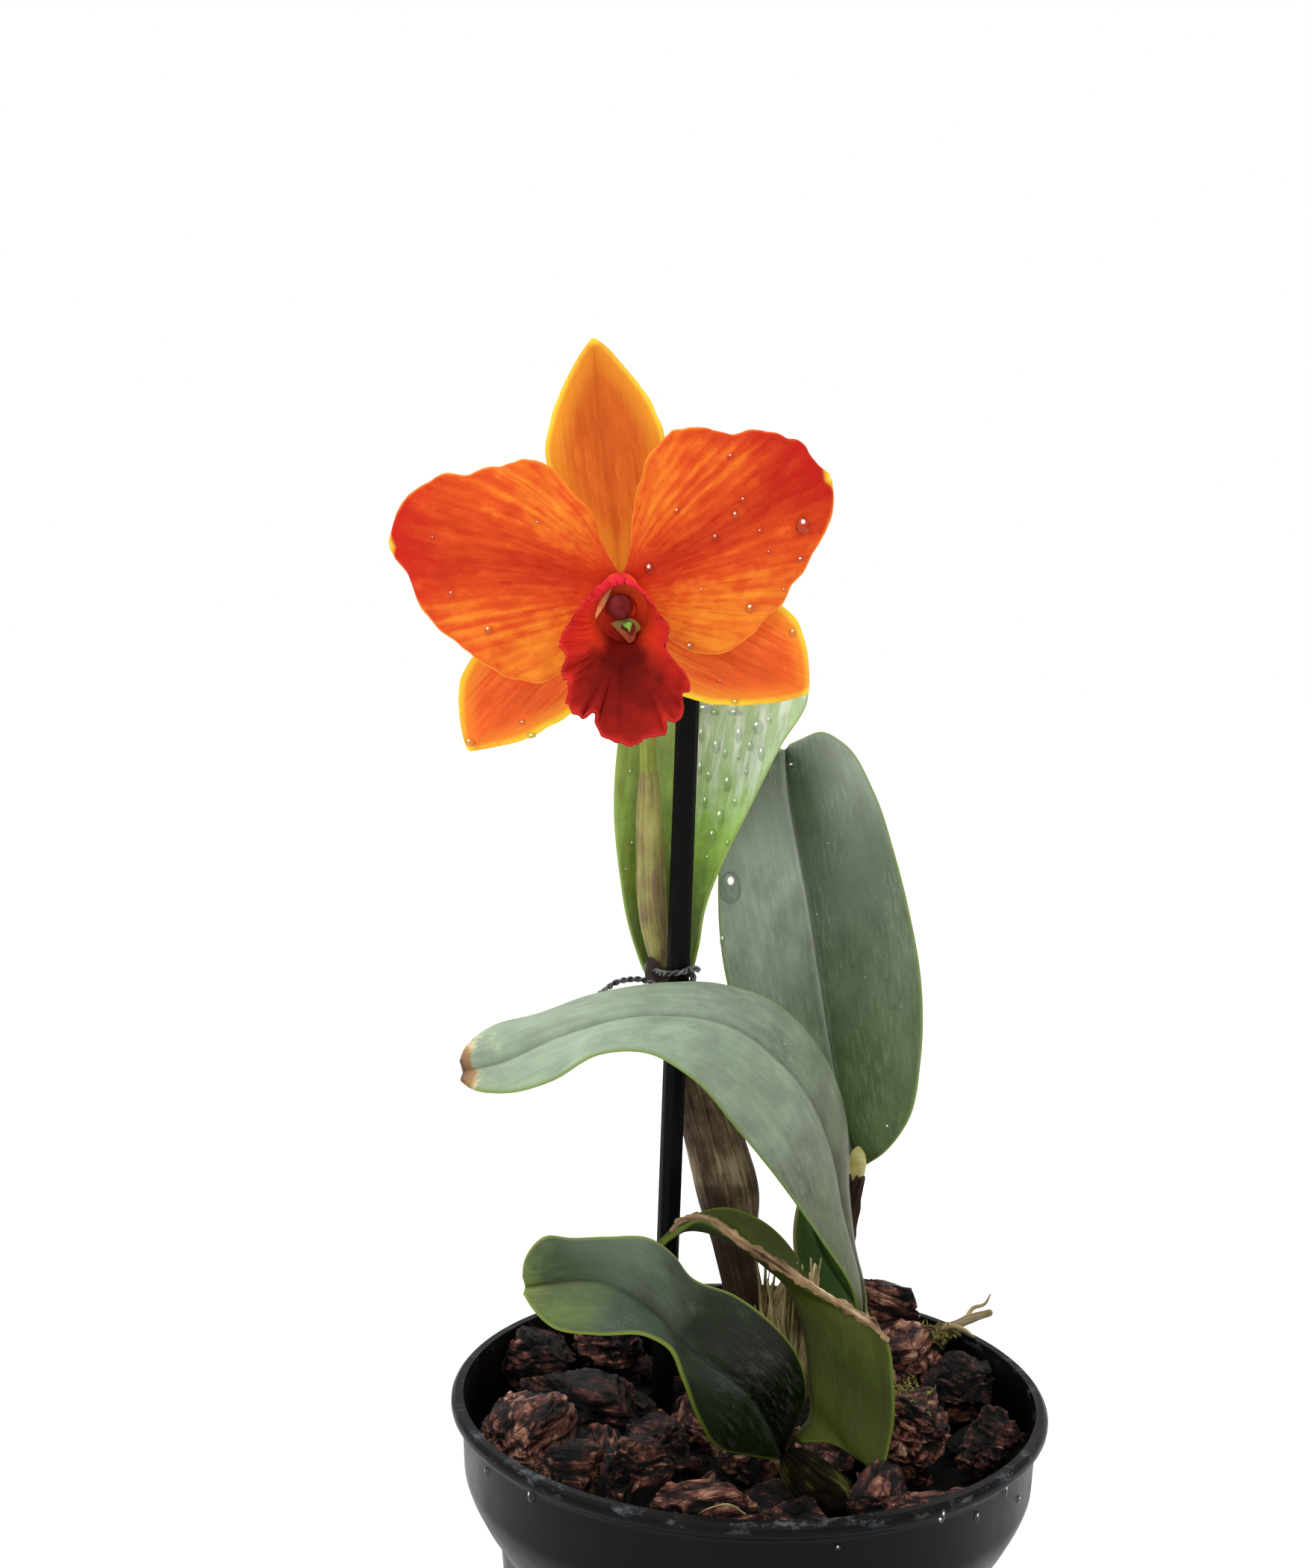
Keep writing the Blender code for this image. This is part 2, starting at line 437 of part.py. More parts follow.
def chip_places():
    """The chips that show most, then a seeded scatter that fills the bed between them."""
    rng = random.Random(CHIP_SEED)
    chips = [chip[:3] + (chip[3:6], chip[6:9]) for chip in BIG_CHIPS]
    rings = int(BARK_RADIUS / CHIP_SPACING)
    for ring in range(rings + 1):
        radius = CHIP_REACH * ring / rings
        count = max(1, round(2 * math.pi * radius / CHIP_SPACING))
        for number in range(count):
            angle = 2 * math.pi * (number + rng.uniform(-0.2, 0.2)) / count + ring
            x = radius * math.cos(angle)
            y = radius * math.sin(angle)
            scale = rng.uniform(0.75, 1.15)
            turns = (rng.uniform(0, 360), rng.uniform(-28, 28), rng.uniform(-28, 28))
            near = min(math.hypot(x - chip[0], y - chip[1]) for chip in BIG_CHIPS)
            if near > CHIP_SPACING * 0.72:
                size = tuple(side * scale for side in CHIP_SIZE)
                chips.append((x, y, bark_height(x, y) + rng.uniform(0.0, 2.0), size, turns))
    return chips


def make_bark(group, cutters, finish, holes):
    """The bed of chips, fused in one body, kept inside the pot and opened for every stem."""
    inside = [(radius - GAP - 0.2, height + GAP) for radius, height in POT_INNER[1:-1]]
    profile = [(radius, BARK_LEVEL) for radius in (0.0, 16.0, 30.0, 42.0, inside[-3][0])]
    profile += [spot for spot in reversed(inside[:-2]) if spot[1] < BARK_LEVEL] + [(0.0, inside[0][1])]
    bark = turned("bark_bed", profile, group, finish, BARK_STEPS)
    apply_modifiers(bark)
    for vert in bark.data.vertices:
        if abs(vert.co.z - BARK_LEVEL * MM) < 0.1 * MM:
            vert.co.z = bark_height(vert.co.x / MM, vert.co.y / MM) * MM
    chips = collection("chips")
    rng = random.Random(CHIP_SEED + 1)
    for number, (x, y, z, size, turns) in enumerate(chip_places()):
        name = f"chip_{number}"
        chip = add_object(name, chip_mesh(name, size, rng), chips, smooth=False)
        turn = Euler([math.radians(turns[2]), math.radians(turns[1]), math.radians(turns[0])], "XYZ")
        chip.data.transform(Matrix.Translation(Vector((x, y, z)) * MM) @ turn.to_matrix().to_4x4())
    boolean(bark, "UNION", chips, "MANIFOLD")
    apply_modifiers(bark)
    for chip in list(chips.objects):
        bpy.data.objects.remove(chip, do_unlink=True)
    mouth = inside[-1][0] + 0.2
    room = [(0.0, RIM_ROOM), (mouth, RIM_ROOM), (mouth, RIM_FLARE)]
    room += list(reversed(inside[:-1])) + [(0.0, inside[0][1])]
    shape = turned("room_in_pot", room, cutters, None, BARK_STEPS)
    guide(shape)
    boolean(bark, "INTERSECT", shape, "MANIFOLD")
    for hole in holes:
        guide(hole)
        boolean(bark, "DIFFERENCE", hole, "MANIFOLD")
    apply_modifiers(bark)
    keep_main_body(bark)
    return bark


# Stems
def make_stake(group, finish):
    foot, top = (Vector(point) * MM for point in STAKE)
    bm = bmesh.new()
    radius = STAKE_RADIUS * MM
    bmesh.ops.create_cone(bm, cap_ends=True, segments=12, radius1=radius, radius2=radius,
                          depth=(top - foot).length)
    stake = add_object("stake", mesh_from(bm, "stake"), group, finish)
    stake.location = (foot + top) / 2
    stake.rotation_mode = "QUATERNION"
    stake.rotation_quaternion = (top - foot).to_track_quat("Z", "Y")
    return stake


def make_rhizome(group, cutters, finish):
    """The creeping stem that carries the bulbs, with a side branch to the front one."""
    rhizome = tube("rhizome", RHIZOME, group, finish, sides=8, rings=12)
    branch = tube("rhizome_branch", RHIZOME_BRANCH, cutters, None, sides=8, rings=5)
    guide(branch)
    boolean(rhizome, "UNION", branch)
    return rhizome


def make_wire_tie(group, finish):
    """Garden wire: round the stake and the bulb's neck, a tail to the left and a cut end to the right."""
    clear = WIRE_RADIUS + GAP
    rounds = [((-17.6, 29.1), BULB_NECK + clear), ((-15.9, 21.1), STAKE_RADIUS + clear)]
    points = [WIRE_END, (WIRE_END[0] - 1.0, WIRE_END[1] + 0.4, WIRE_END[2] + 0.5)]
    for number in range(WIRE_POINTS + 1):
        share = number / WIRE_POINTS
        angle = WIRE_START - 2 * math.pi * WIRE_TURNS * share
        aim = Vector((math.cos(angle), math.sin(angle)))
        (x, y), radius = max(rounds, key=lambda item: aim.dot(Vector(item[0])) + item[1])
        points.append((x + aim.x * radius, y + aim.y * radius, WIRE_TOP - WIRE_DROP * share))
    points += WIRE_TAIL
    curve = bpy.data.curves.new("wire_tie", "CURVE")
    curve.dimensions = "3D"
    curve.bevel_depth = WIRE_RADIUS * MM
    curve.bevel_resolution = 1
    curve.use_fill_caps = True
    spline = curve.splines.new("POLY")
    spline.points.add(len(points) - 1)
    for point, spot in zip(spline.points, points):
        point.co = (*(Vector(spot) * MM), 1.0)
    curve.materials.append(finish)
    wire = bpy.data.objects.new("wire_tie", curve)
    group.objects.link(wire)
    return wire


def make_spathe(group, cutters, finish):
    """The flattened sheath that the flower stalk comes out of, with a socket for the stalk."""
    spathe = tube("spathe", SPATHE, group, finish, sides=12, rings=8, squash=0.95)
    socket = tube("spathe_socket", FLOWER_STALK[:3], cutters, None, sides=10, rings=6, grow=GAP)
    guide(socket)
    boolean(spathe, "DIFFERENCE", socket)
    return spathe


# Flower
def make_column(group, cutters, finish):
    column = tube("column", COLUMN, group, finish, sides=10, rings=8, squash=0.9)
    bm = bmesh.new()
    bmesh.ops.create_uvsphere(bm, u_segments=10, v_segments=6, radius=ANTHER_RADIUS * MM,
                              matrix=Matrix.Translation(Vector(ANTHER_CAP) * MM))
    cap = add_object("anther_cap", mesh_from(bm, "anther_cap"), cutters)
    guide(cap)
    boolean(column, "UNION", cap)
    return column


def make_lip(group, finish):
    """The lip: rings of the tube lead out to a ruffled edge; across runs round it, along outwards."""
    edge = np.array(LIP_EDGE, float)
    middle = np.array(LIP_AXIS[-1])

    def place(across, along):
        angle = np.radians(across * LIP_SEAM)
        radius = np.interp(np.degrees(angle), edge[:, 0], edge[:, 1])
        depth = np.interp(np.degrees(angle), edge[:, 0], edge[:, 2])
        height, count = LIP_RUFFLE
        ruffle = height * np.sin(count * angle)
        rings = []
        for spot, (half_width, half_height) in zip(LIP_AXIS, LIP_RINGS):
            centre = np.array(spot)
            rings.append(centre + np.stack([half_width * np.sin(angle), np.zeros_like(angle),
                                            -half_height * np.cos(angle)], 1))
        forward = depth - middle[1] + ruffle
        rim = middle + np.stack([radius * np.sin(angle), forward, -radius * np.cos(angle)], 1)
        spots = np.stack(rings + [rim], 1)
        level = along * (spots.shape[1] - 1)
        index = np.minimum(level.astype(int), spots.shape[1] - 2)
        t = (level - index)[:, None]
        every = np.arange(len(along))
        before = spots[every, np.maximum(index - 1, 0)]
        start, end = spots[every, index], spots[every, index + 1]
        after = spots[every, np.minimum(index + 2, spots.shape[1] - 1)]
        return 0.5 * (2 * start + (end - before) * t + (2 * before - 5 * start + 4 * end - after) * t**2
                      + (3 * start - before - 3 * end + after) * t**3)

    lip = add_object("lip", grid_mesh("lip", place, 38, 7), group, finish)
    shell = lip.modifiers.new("Thickness", "SOLIDIFY")
    shell.thickness = LIP_THICKNESS * MM
    shell.offset = 0.0
    return lip


def main():
    clear_scene()
    plant = collection("cattleya_orchid")
    cutters = collection("cutters")
    black_plastic = material("black_plastic", (0.012, 0.012, 0.013), 0.45)
    bark_brown = material("pine_bark", (0.090, 0.045, 0.030), 0.85)
    leaf_green = material("leaf_green", (0.105, 0.170, 0.080), 0.4)
    dry_sheath = material("dry_sheath", (0.180, 0.120, 0.070), 0.75)
    olive_stem = material("olive_stem", (0.210, 0.240, 0.055), 0.55)
    petal_orange = material("petal_orange", (0.800, 0.170, 0.022), 0.5)
    lip_red = material("lip_red", (0.420, 0.014, 0.010), 0.5)
    tie_wire = material("tie_wire", (0.050, 0.050, 0.050), 0.35, 0.8)

    stems = {
        "pseudobulb_lead": (LEAD_BULB, dry_sheath, 12, 14),
        "pseudobulb_right": (RIGHT_BULB, dry_sheath, 10, 6),
        "pseudobulb_middle": (MIDDLE_BULB, dry_sheath, 10, 8),
        "pseudobulb_arching": (ARCH_BULB, olive_stem, 10, 5),
        "pseudobulb_front": (FRONT_BULB, olive_stem, 12, 6),
        "root_twig": (ROOT_TWIG, dry_sheath, 7, 8)}
    holes = []
    for name, (spine, finish, sides, rings) in stems.items():
        tube(name, spine, plant, finish, sides, rings)
        holes.append(tube(name + "_hole", spine, cutters, None, sides, rings, grow=GAP))
    holes.append(tube("rhizome_hole", RHIZOME, cutters, None, 8, 12, grow=GAP))
    holes.append(tube("rhizome_branch_hole", RHIZOME_BRANCH, cutters, None, 8, 5, grow=GAP))
    stake_spine = [(*point, STAKE_RADIUS + 0.1) for point in STAKE]
    holes.append(tube("stake_hole", stake_spine, cutters, None, 12, 1, grow=GAP))

    make_pot(plant, cutters, black_plastic)
    make_bark(plant, cutters, bark_brown, holes)
    make_stake(plant, black_plastic)
    make_rhizome(plant, cutters, dry_sheath)
    make_wire_tie(plant, tie_wire)
    make_spathe(plant, cutters, olive_stem)
    tube("flower_stalk", FLOWER_STALK, plant, olive_stem, 10, 14)
    for name, rails in LEAVES.items():
        columns, rows = (4, 8) if name == "leaf_young" else (6, 14)
        blade(name, rails, plant, leaf_green, LEAF_THICKNESS, columns, rows, arch=0.06)
    for name, rails in PETALS.items():
        wave = PETAL_WAVE if name.startswith("petal") else SEPAL_WAVE
        blade(name, rails, plant, petal_orange, PETAL_THICKNESS, 6, 12, arch=0.05, wave=wave)
    make_column(plant, cutters, lip_red)
    make_lip(plant, lip_red)


main()
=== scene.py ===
# Finish of a potted cattleya orchid in flower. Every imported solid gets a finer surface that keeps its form.
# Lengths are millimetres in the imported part's frame, and become metres when a mesh is made.
import functools
import itertools
import math
import random

import bmesh
import bpy
import numpy as np
from mathutils import Euler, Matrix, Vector
from mathutils.bvhtree import BVHTree


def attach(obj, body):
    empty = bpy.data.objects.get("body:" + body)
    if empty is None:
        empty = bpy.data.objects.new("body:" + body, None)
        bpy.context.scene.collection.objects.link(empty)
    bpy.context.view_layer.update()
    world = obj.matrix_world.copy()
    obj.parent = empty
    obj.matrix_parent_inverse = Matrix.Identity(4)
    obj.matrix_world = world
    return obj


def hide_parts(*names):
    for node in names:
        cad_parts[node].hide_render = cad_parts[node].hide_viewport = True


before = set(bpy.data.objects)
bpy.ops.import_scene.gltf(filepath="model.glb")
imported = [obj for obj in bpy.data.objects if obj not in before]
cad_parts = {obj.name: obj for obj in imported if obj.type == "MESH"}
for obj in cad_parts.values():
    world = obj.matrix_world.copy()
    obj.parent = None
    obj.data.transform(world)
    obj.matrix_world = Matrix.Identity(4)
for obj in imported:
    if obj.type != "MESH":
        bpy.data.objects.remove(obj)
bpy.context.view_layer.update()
mm = 0.001
cameraView = {"place": (-21.3, -394.2, 270.3), "pitch": 6.16, "roll": 1.18, "focal": 2700.0}
photoWidth = 1756
photoHeight = 2100
print("frame loaded:", len(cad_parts), "solids")


# Shapes: curves, noise, grids and the parts that they make
def joined(*values):
    # the values stretched to one grid and set side by side, as the coordinates of its points
    return np.stack(np.broadcast_arrays(*values), -1)


def circle(steps):
    # equal angles once round
    return np.linspace(0, 2 * math.pi, steps, endpoint=False)


def lengthAlong(path):
    # distance along the path from its first point to each of its points
    return np.concatenate([[0.0], np.cumsum(np.linalg.norm(np.diff(path[:, :3], axis=0), axis=1))])


def unit(vectors):
    # each vector divided by its own length
    return vectors / np.maximum(np.linalg.norm(vectors, axis=-1, keepdims=True), 1e-9)


def smoothCurve(points, shares):
    # cubic between neighbouring points, with slopes taken from both sides, read at shares of the chord length
    points = np.array(points, float)
    length = lengthAlong(points)
    length = length / length[-1]
    slope = np.gradient(points, length, axis=0)
    shares = np.asarray(shares, float)
    index = np.clip(np.searchsorted(length, shares, side="right") - 1, 0, len(length) - 2)
    span = (length[index + 1] - length[index])[:, None]
    t = (shares - length[index])[:, None] / span
    return ((2 * t**3 - 3 * t**2 + 1) * points[index] + (t**3 - 2 * t**2 + t) * span * slope[index]
            + (3 * t**2 - 2 * t**3) * points[index + 1] + (t**3 - t**2) * span * slope[index + 1])


noiseTable = np.random.default_rng(11).uniform(-1, 1, (32, 32, 32))


def softNoise(points, cell, octaves=1, shift=0.0):
    # random numbers on a lattice, blended smoothly between its corners, with finer and weaker layers added
    total = 0.0
    points = np.asarray(points, float) + shift
    for octave in range(octaves):
        place = points / (np.asarray(cell, float) / 2**octave) + 7.3 * octave
        low = np.floor(place).astype(int)
        t = place - low
        t = t * t * (3 - 2 * t)
        for corner in itertools.product((0, 1), repeat=3):
            index = (low + corner) % 32
            weight = np.prod(np.where(np.array(corner) == 1, t, 1 - t), axis=-1)
            total = total + weight * noiseTable[index[..., 0], index[..., 1], index[..., 2]] / 2**octave
    return total


def gridPart(points, fields=None, caps="fan"):
    # a grid of points as faces: rows run along, columns run round, and both ends are closed
    rows, columns = points.shape[:2]
    index = np.arange(rows * columns).reshape(rows, columns)
    edge = np.hstack([index, index[:, :1]])
    quads = np.stack([edge[:-1, :-1], edge[:-1, 1:], edge[1:, 1:], edge[1:, :-1]], -1).reshape(-1, 4)
    triangles = np.zeros((0, 3), int)
    flat = points.reshape(-1, 3)
    fields = {key: value.reshape(rows * columns, -1) for key, value in (fields or {}).items()}
    if caps == "fan":
        centre = np.array([[len(flat)], [len(flat) + 1]])
        for row, middle in ((0, centre[0]), (-1, centre[1])):
            ring = edge[row]
            triangles = np.vstack([triangles, np.stack(
                [ring[:-1], ring[1:], np.repeat(middle, len(ring) - 1)], 1)])
        flat = np.vstack([flat, points[0].mean(0), points[-1].mean(0)])
        for key, value in fields.items():
            fields[key] = np.vstack([value, value[:columns].mean(0), value[-columns:].mean(0)])
    if caps == "strip":          # the ring is an upper and a lower side that share both edges
        half = columns // 2
        for row in (0, -1):
            upper = index[row, :half + 1]
            lower = np.concatenate([upper[:1], index[row, :half:-1], upper[-1:]])
            quads = np.vstack([quads, np.stack([upper[1:-2], upper[2:-1], lower[2:-1], lower[1:-2]], 1)])
            ends = [[upper[0], upper[1], lower[1]], [upper[-2], upper[-1], lower[-2]]]
            triangles = np.vstack([triangles, ends])
    return {"points": flat, "quads": quads, "triangles": triangles, "fields": fields}


def closedSheet(upper, lower, fields, back):
    # out along the upper side and back along the lower one as a ring, so that both share their edges
    ring = np.concatenate([upper, lower[:, -2:0:-1]], 1)
    both = {key: np.concatenate([fields[key], back[key][:, -2:0:-1]], 1) for key in fields}
    return gridPart(ring, both, "strip")


def placeObject(name, data):
    # an object with this mesh, lamp or camera, in the scene
    made = bpy.data.objects.new(name, data)
    bpy.context.scene.collection.objects.link(made)
    return made


def addFields(part, **values):
    # the same number or vector at every point of a part
    for key, value in values.items():
        part["fields"][key] = np.tile(np.atleast_1d(np.array(value, float)), (len(part["points"]), 1))
    return part


def buildPiece(name, parts, finish, stands=()):
    # the parts side by side in one mesh, in metres, faces out, riding on the one body
    starts = np.cumsum([0] + [len(part["points"]) for part in parts])
    points = np.concatenate([part["points"] for part in parts]) * mm
    faces = []
    for part, start in zip(parts, starts):
        faces += (part["quads"] + start).tolist() + (part["triangles"] + start).tolist()
    mesh = bpy.data.meshes.new(name)
    mesh.from_pydata(points, [], faces)
    for key in parts[0]["fields"]:
        values = np.concatenate([part["fields"][key] for part in parts])
        wide = values.shape[1] == 3
        field = mesh.attributes.new(key, "FLOAT_VECTOR" if wide else "FLOAT", "POINT")
        field.data.foreach_set("vector" if wide else "value", values.astype(np.float32).ravel())
    body = bmesh.new()
    body.from_mesh(mesh)
    bmesh.ops.recalc_face_normals(body, faces=body.faces)
    body.to_mesh(mesh)
    body.free()
    mesh.materials.append(finish)
    mesh.shade_smooth()
    piece = placeObject(name, mesh)
    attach(piece, "root")
    if stands:
        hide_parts(*stands)
    return piece


def pathFrame(centres):
    # two directions square to the path and to each other
    heading = unit(np.gradient(centres, axis=0))
    aside = unit(np.cross(heading, np.array([0.0, 1.0, 0.05])))
    return aside, np.cross(aside, heading)


def tubePart(spine, sides, rings, squash=1.0, relief=None, rounded=0.0):
    # a ring of the spine's radius carried along it; relief adds to the radius at each angle and share, and
    # rounded is the share of the length over which each end closes in a half circle
    shares = np.linspace(0, 1, rings + 1)
    path = smoothCurve(spine, shares)
    aside, deep = pathFrame(path[:, :3])
    angle = circle(sides)
    radius = np.repeat(path[:, 3:4], sides, 1)
    if rounded:
        reach = np.minimum(np.arange(rings + 1), np.arange(rings + 1)[::-1]) / max(1.0, rounded * rings)
        radius = radius * np.sqrt(1 - (1 - np.clip(reach, 0.02, 1))**2)[:, None]
    if relief:
        radius = radius + relief(angle[None, :], shares[:, None], path[:, None, :3])
    points = (path[:, None, :3] + radius[..., None] * (np.cos(angle)[None, :, None] * aside[:, None]
              + np.sin(angle)[None, :, None] * deep[:, None] * squash))
    place = joined(angle * path[:, 3].mean(), shares[:, None] * lengthAlong(path)[-1], radius * 0)
    return gridPart(points, {"place": place})


def filletProfile(profile, radius, steps=4):
    # each corner becomes a short parabola that starts and ends a radius away from it
    profile = np.array(profile, float)
    out = [profile[0]]
    t = np.linspace(0, 1, steps)[:, None]
    for before, corner, after in zip(profile[:-2], profile[1:-1], profile[2:]):
        reach = min(radius, np.linalg.norm(before - corner) * 0.45, np.linalg.norm(after - corner) * 0.45)
        first = corner + unit(before - corner) * reach
        last = corner + unit(after - corner) * reach
        out += list((1 - t)**2 * first + 2 * t * (1 - t) * corner + t**2 * last)
    return np.array(out + [profile[-1]])


def turnedPart(profile, steps):
    # every point of the profile goes once round the Z axis
    radius, height = np.array(profile, float).T[..., None]
    return gridPart(joined(radius * np.cos(circle(steps)), radius * np.sin(circle(steps)), height))


# Materials: colours are sRGB hex, turned to linear by one function
def linear(hexText):
    # undoes the sRGB gamma of each channel
    parts = [int(hexText[i:i + 2], 16) / 255 for i in (1, 3, 5)]
    return (*[((c + 0.055) / 1.055)**2.4 if c > 0.04045 else c / 12.92 for c in parts], 1.0)


def fill(node, values):
    # a socket given for a socket is linked, a hex text is a colour, and anything else is the socket's value
    for key, value in values.items():
        if isinstance(value, bpy.types.NodeSocket):
            node.id_data.links.new(value, node.inputs[key])
        else:
            node.inputs[key].default_value = linear(value) if isinstance(value, str) else value


def addNode(tree, kind, *values, stops=(), out=None, **settings):
    # values fill the sockets in order, names with a capital are sockets too, and the other names are settings;
    # the first two stops of a ramp are its two ends
    node = tree.nodes.new("ShaderNode" + kind)
    order, given = range(len(values)), 0
    if kind == "Mix" and "data_type" not in settings:      # the sockets for colours follow those for numbers
        node.data_type = "RGBA"
        order, given = (0, 6, 7), 2
    for key, value in settings.items():
        if key[0].islower():
            setattr(node, key, value)
    fill(node, dict(zip(order, values)))
    fill(node, {key: value for key, value in settings.items() if key[0].isupper()})
    for number, (place, colour) in enumerate(stops):
        ramp = node.color_ramp.elements
        stop = ramp[number] if number < 2 else ramp.new(place)
        stop.position = place
        stop.color = linear(colour)
    return node.outputs[given if out is None else out]


def newFinish(name, values):
    # a material, the function that adds a node to it, and its shader with the given constants
    made = bpy.data.materials.new(name)
    made.use_nodes = True
    shader = made.node_tree.nodes["Principled BSDF"]
    fill(shader, values)
    return made, functools.partial(addNode, made.node_tree), shader


# Blades: leaves and petals spread between their two edges and their midrib, from the base to the tip
leafRails = {
    "leaf_behind_flower": {
        "left": [(-20.6, 30.6, 180), (-22.9, 29.4, 184), (-24.9, 29.4, 189), (-26.8, 28.4, 195.5),
                 (-28.5, 27.6, 205), (-30, 28, 218.5), (-29.5, 29.5, 232.5), (-27, 32, 248),
                 (-20, 36, 265.5), (-11.5, 40, 275), (-6.5, 42, 278)],
        "mid": [(-18, 32.2, 180), (-17.7, 32.6, 187), (-17.4, 33.2, 194), (-17, 35, 208), (-15.5, 37, 224),
                (-13.5, 38.6, 240), (-10, 40.6, 257.5), (-6.5, 42.6, 278)],
        "right": [(-15.2, 30.6, 180), (-12.8, 29.4, 184), (-11.4, 28.8, 189.5), (-10.3, 28, 197.5),
                  (-6, 27.6, 210), (-1.5, 28.4, 219.5), (5, 30, 233), (10.6, 31.5, 243.6), (8, 33.5, 252.5),
                  (4, 35.5, 260), (-1.5, 39, 269), (-6.5, 42, 278)]},
    "leaf_right": {
        "left": [(24.2, 45, 137.8), (19, 42.5, 143), (8.5, 39, 151.5), (0, 38, 166.5), (-5, 39, 181),
                 (-7, 41, 195.5), (-6.5, 43, 210.5), (-2, 45, 223.5), (3.5, 47, 229.5), (7, 48, 231.5)],
        "mid": [(25.6, 46.4, 137.8), (22, 49, 150.5), (19.5, 51, 163), (16.5, 52, 179.5), (14, 52, 193),
                (11, 51, 207), (8, 50, 222), (7, 49, 231.5)],
        "right": [(27, 45, 137.8), (31, 41.5, 142), (36, 39, 150.5), (38, 38, 164), (37.5, 39, 182.5),
                  (35, 41, 195.5), (31.5, 43, 208.5), (26.5, 45, 222.5), (20, 46, 232.5), (15, 47, 235),
                  (10, 48, 233), (7, 48.5, 231.5)]},
    "leaf_arching": {
        "left": [(24.6, 24, 109.2), (22.5, 19.6, 118.5), (15.5, 15, 130.5), (5.5, 9, 145.5),
                 (-4, 2, 158.5), (-13, -5, 170), (-22.5, -9, 176), (-31.5, -12, 176), (-40, -15, 171.5),
                 (-48.5, -17, 169.5), (-55, -17, 170), (-58.5, -14, 171.5)],
        "mid": [(25.8, 24.9, 108.9), (24.4, 24.8, 118.5), (21, 24, 131.5), (16.5, 20, 150.5),
                (8, 13, 166.5), (-7, 6, 178.5), (-21.5, 2, 180.5), (-39, -5, 177.5), (-51, -10, 173),
                (-58.5, -13, 172)],
        "right": [(26.8, 24.3, 109.1), (26.2, 25.6, 115.5), (23.4, 28, 125), (22, 28, 138.5),
                  (20.5, 26, 155.5), (14, 21, 170.5), (3, 17, 181.5), (-7, 14, 185), (-20, 11, 185.5),
                  (-32.5, 7, 184), (-44, 2, 180.5), (-53, -3, 179), (-57.5, -8, 176), (-58.5, -12, 173)]},
    "leaf_front_left": {
        "left": [(5.3, -13.9, 95.8), (-0.5, -18, 98.5), (-7, -23, 102.5), (-11, -27, 110),
                 (-14, -31, 119), (-17, -33, 126), (-21, -34, 128.5), (-30, -34, 128.5),
                 (-38.5, -33, 129.5), (-42.5, -31, 132.5), (-44.5, -29, 135)],
        "mid": [(6.3, -12.5, 96.5), (2.6, -15, 105), (-1.5, -20, 112.5), (-9, -24, 119.5),
                (-16, -26, 126), (-22, -27, 132.5), (-27.5, -27, 135.5), (-36, -27, 136),
                (-44.5, -28, 135)],
        "right": [(6.8, -11, 97.3), (9.6, -8.6, 102), (11, -10, 108.5), (9, -12, 116.5), (3.5, -14, 124),
                  (-4, -17, 130.5), (-12.5, -20, 135), (-16.5, -22, 140.5), (-20.5, -23, 143.5),
                  (-29, -24, 144), (-35.5, -25, 144), (-40.5, -26, 144.5), (-44, -27, 140.5),
                  (-44.5, -28, 136.5)]},
    "leaf_front_right": {
        "left": [(9.1, -9.6, 99.4), (13, -3, 100.4), (14.5, 5, 104), (15, 11, 111), (13.5, 14, 120),
                 (9.5, 14.4, 128.5), (2.5, 13.6, 135.5), (-5.5, 12, 138.5), (-12, 9, 137.5),
                 (-17, 3, 135), (-18.5, -3, 135)],
        "mid": [(9.4, -11.2, 98.8), (12.5, -9, 102.5), (12.5, -5, 108.5), (11.5, 0, 116), (8, 5, 124),
                (1, 8, 130), (-7.5, 8, 135.5), (-14.5, 4, 136), (-18.5, -3, 135)],
        "right": [(10.4, -12.7, 99.2), (15.5, -15, 100), (21, -19, 98.6), (24.5, -22, 97.8),
                  (27, -20, 104), (27.5, -16, 113.5), (26.5, -12, 120), (22.5, -8, 123), (14, -3, 125.5),
                  (6.5, 1, 129), (-2.5, 4, 134), (-11, 4, 138.5), (-15.5, 1, 136.5), (-18.5, -4, 135)]},
    "leaf_young": {
        "left": [(25.6, 28.4, 109.4), (18, 28.6, 112), (12, 28.6, 119), (10.4, 28.4, 126.5),
                 (11, 28.6, 133.5), (12, 29, 137)],
        "mid": [(26.6, 28.2, 109.2), (22, 31, 115), (17, 31.8, 123), (14, 31, 131), (12.4, 30, 137)],
        "right": [(27.6, 27.8, 109.4), (24.6, 30.2, 117), (20.6, 31, 125.5), (16.4, 31, 132.5),
                  (12.8, 30, 137)]}}
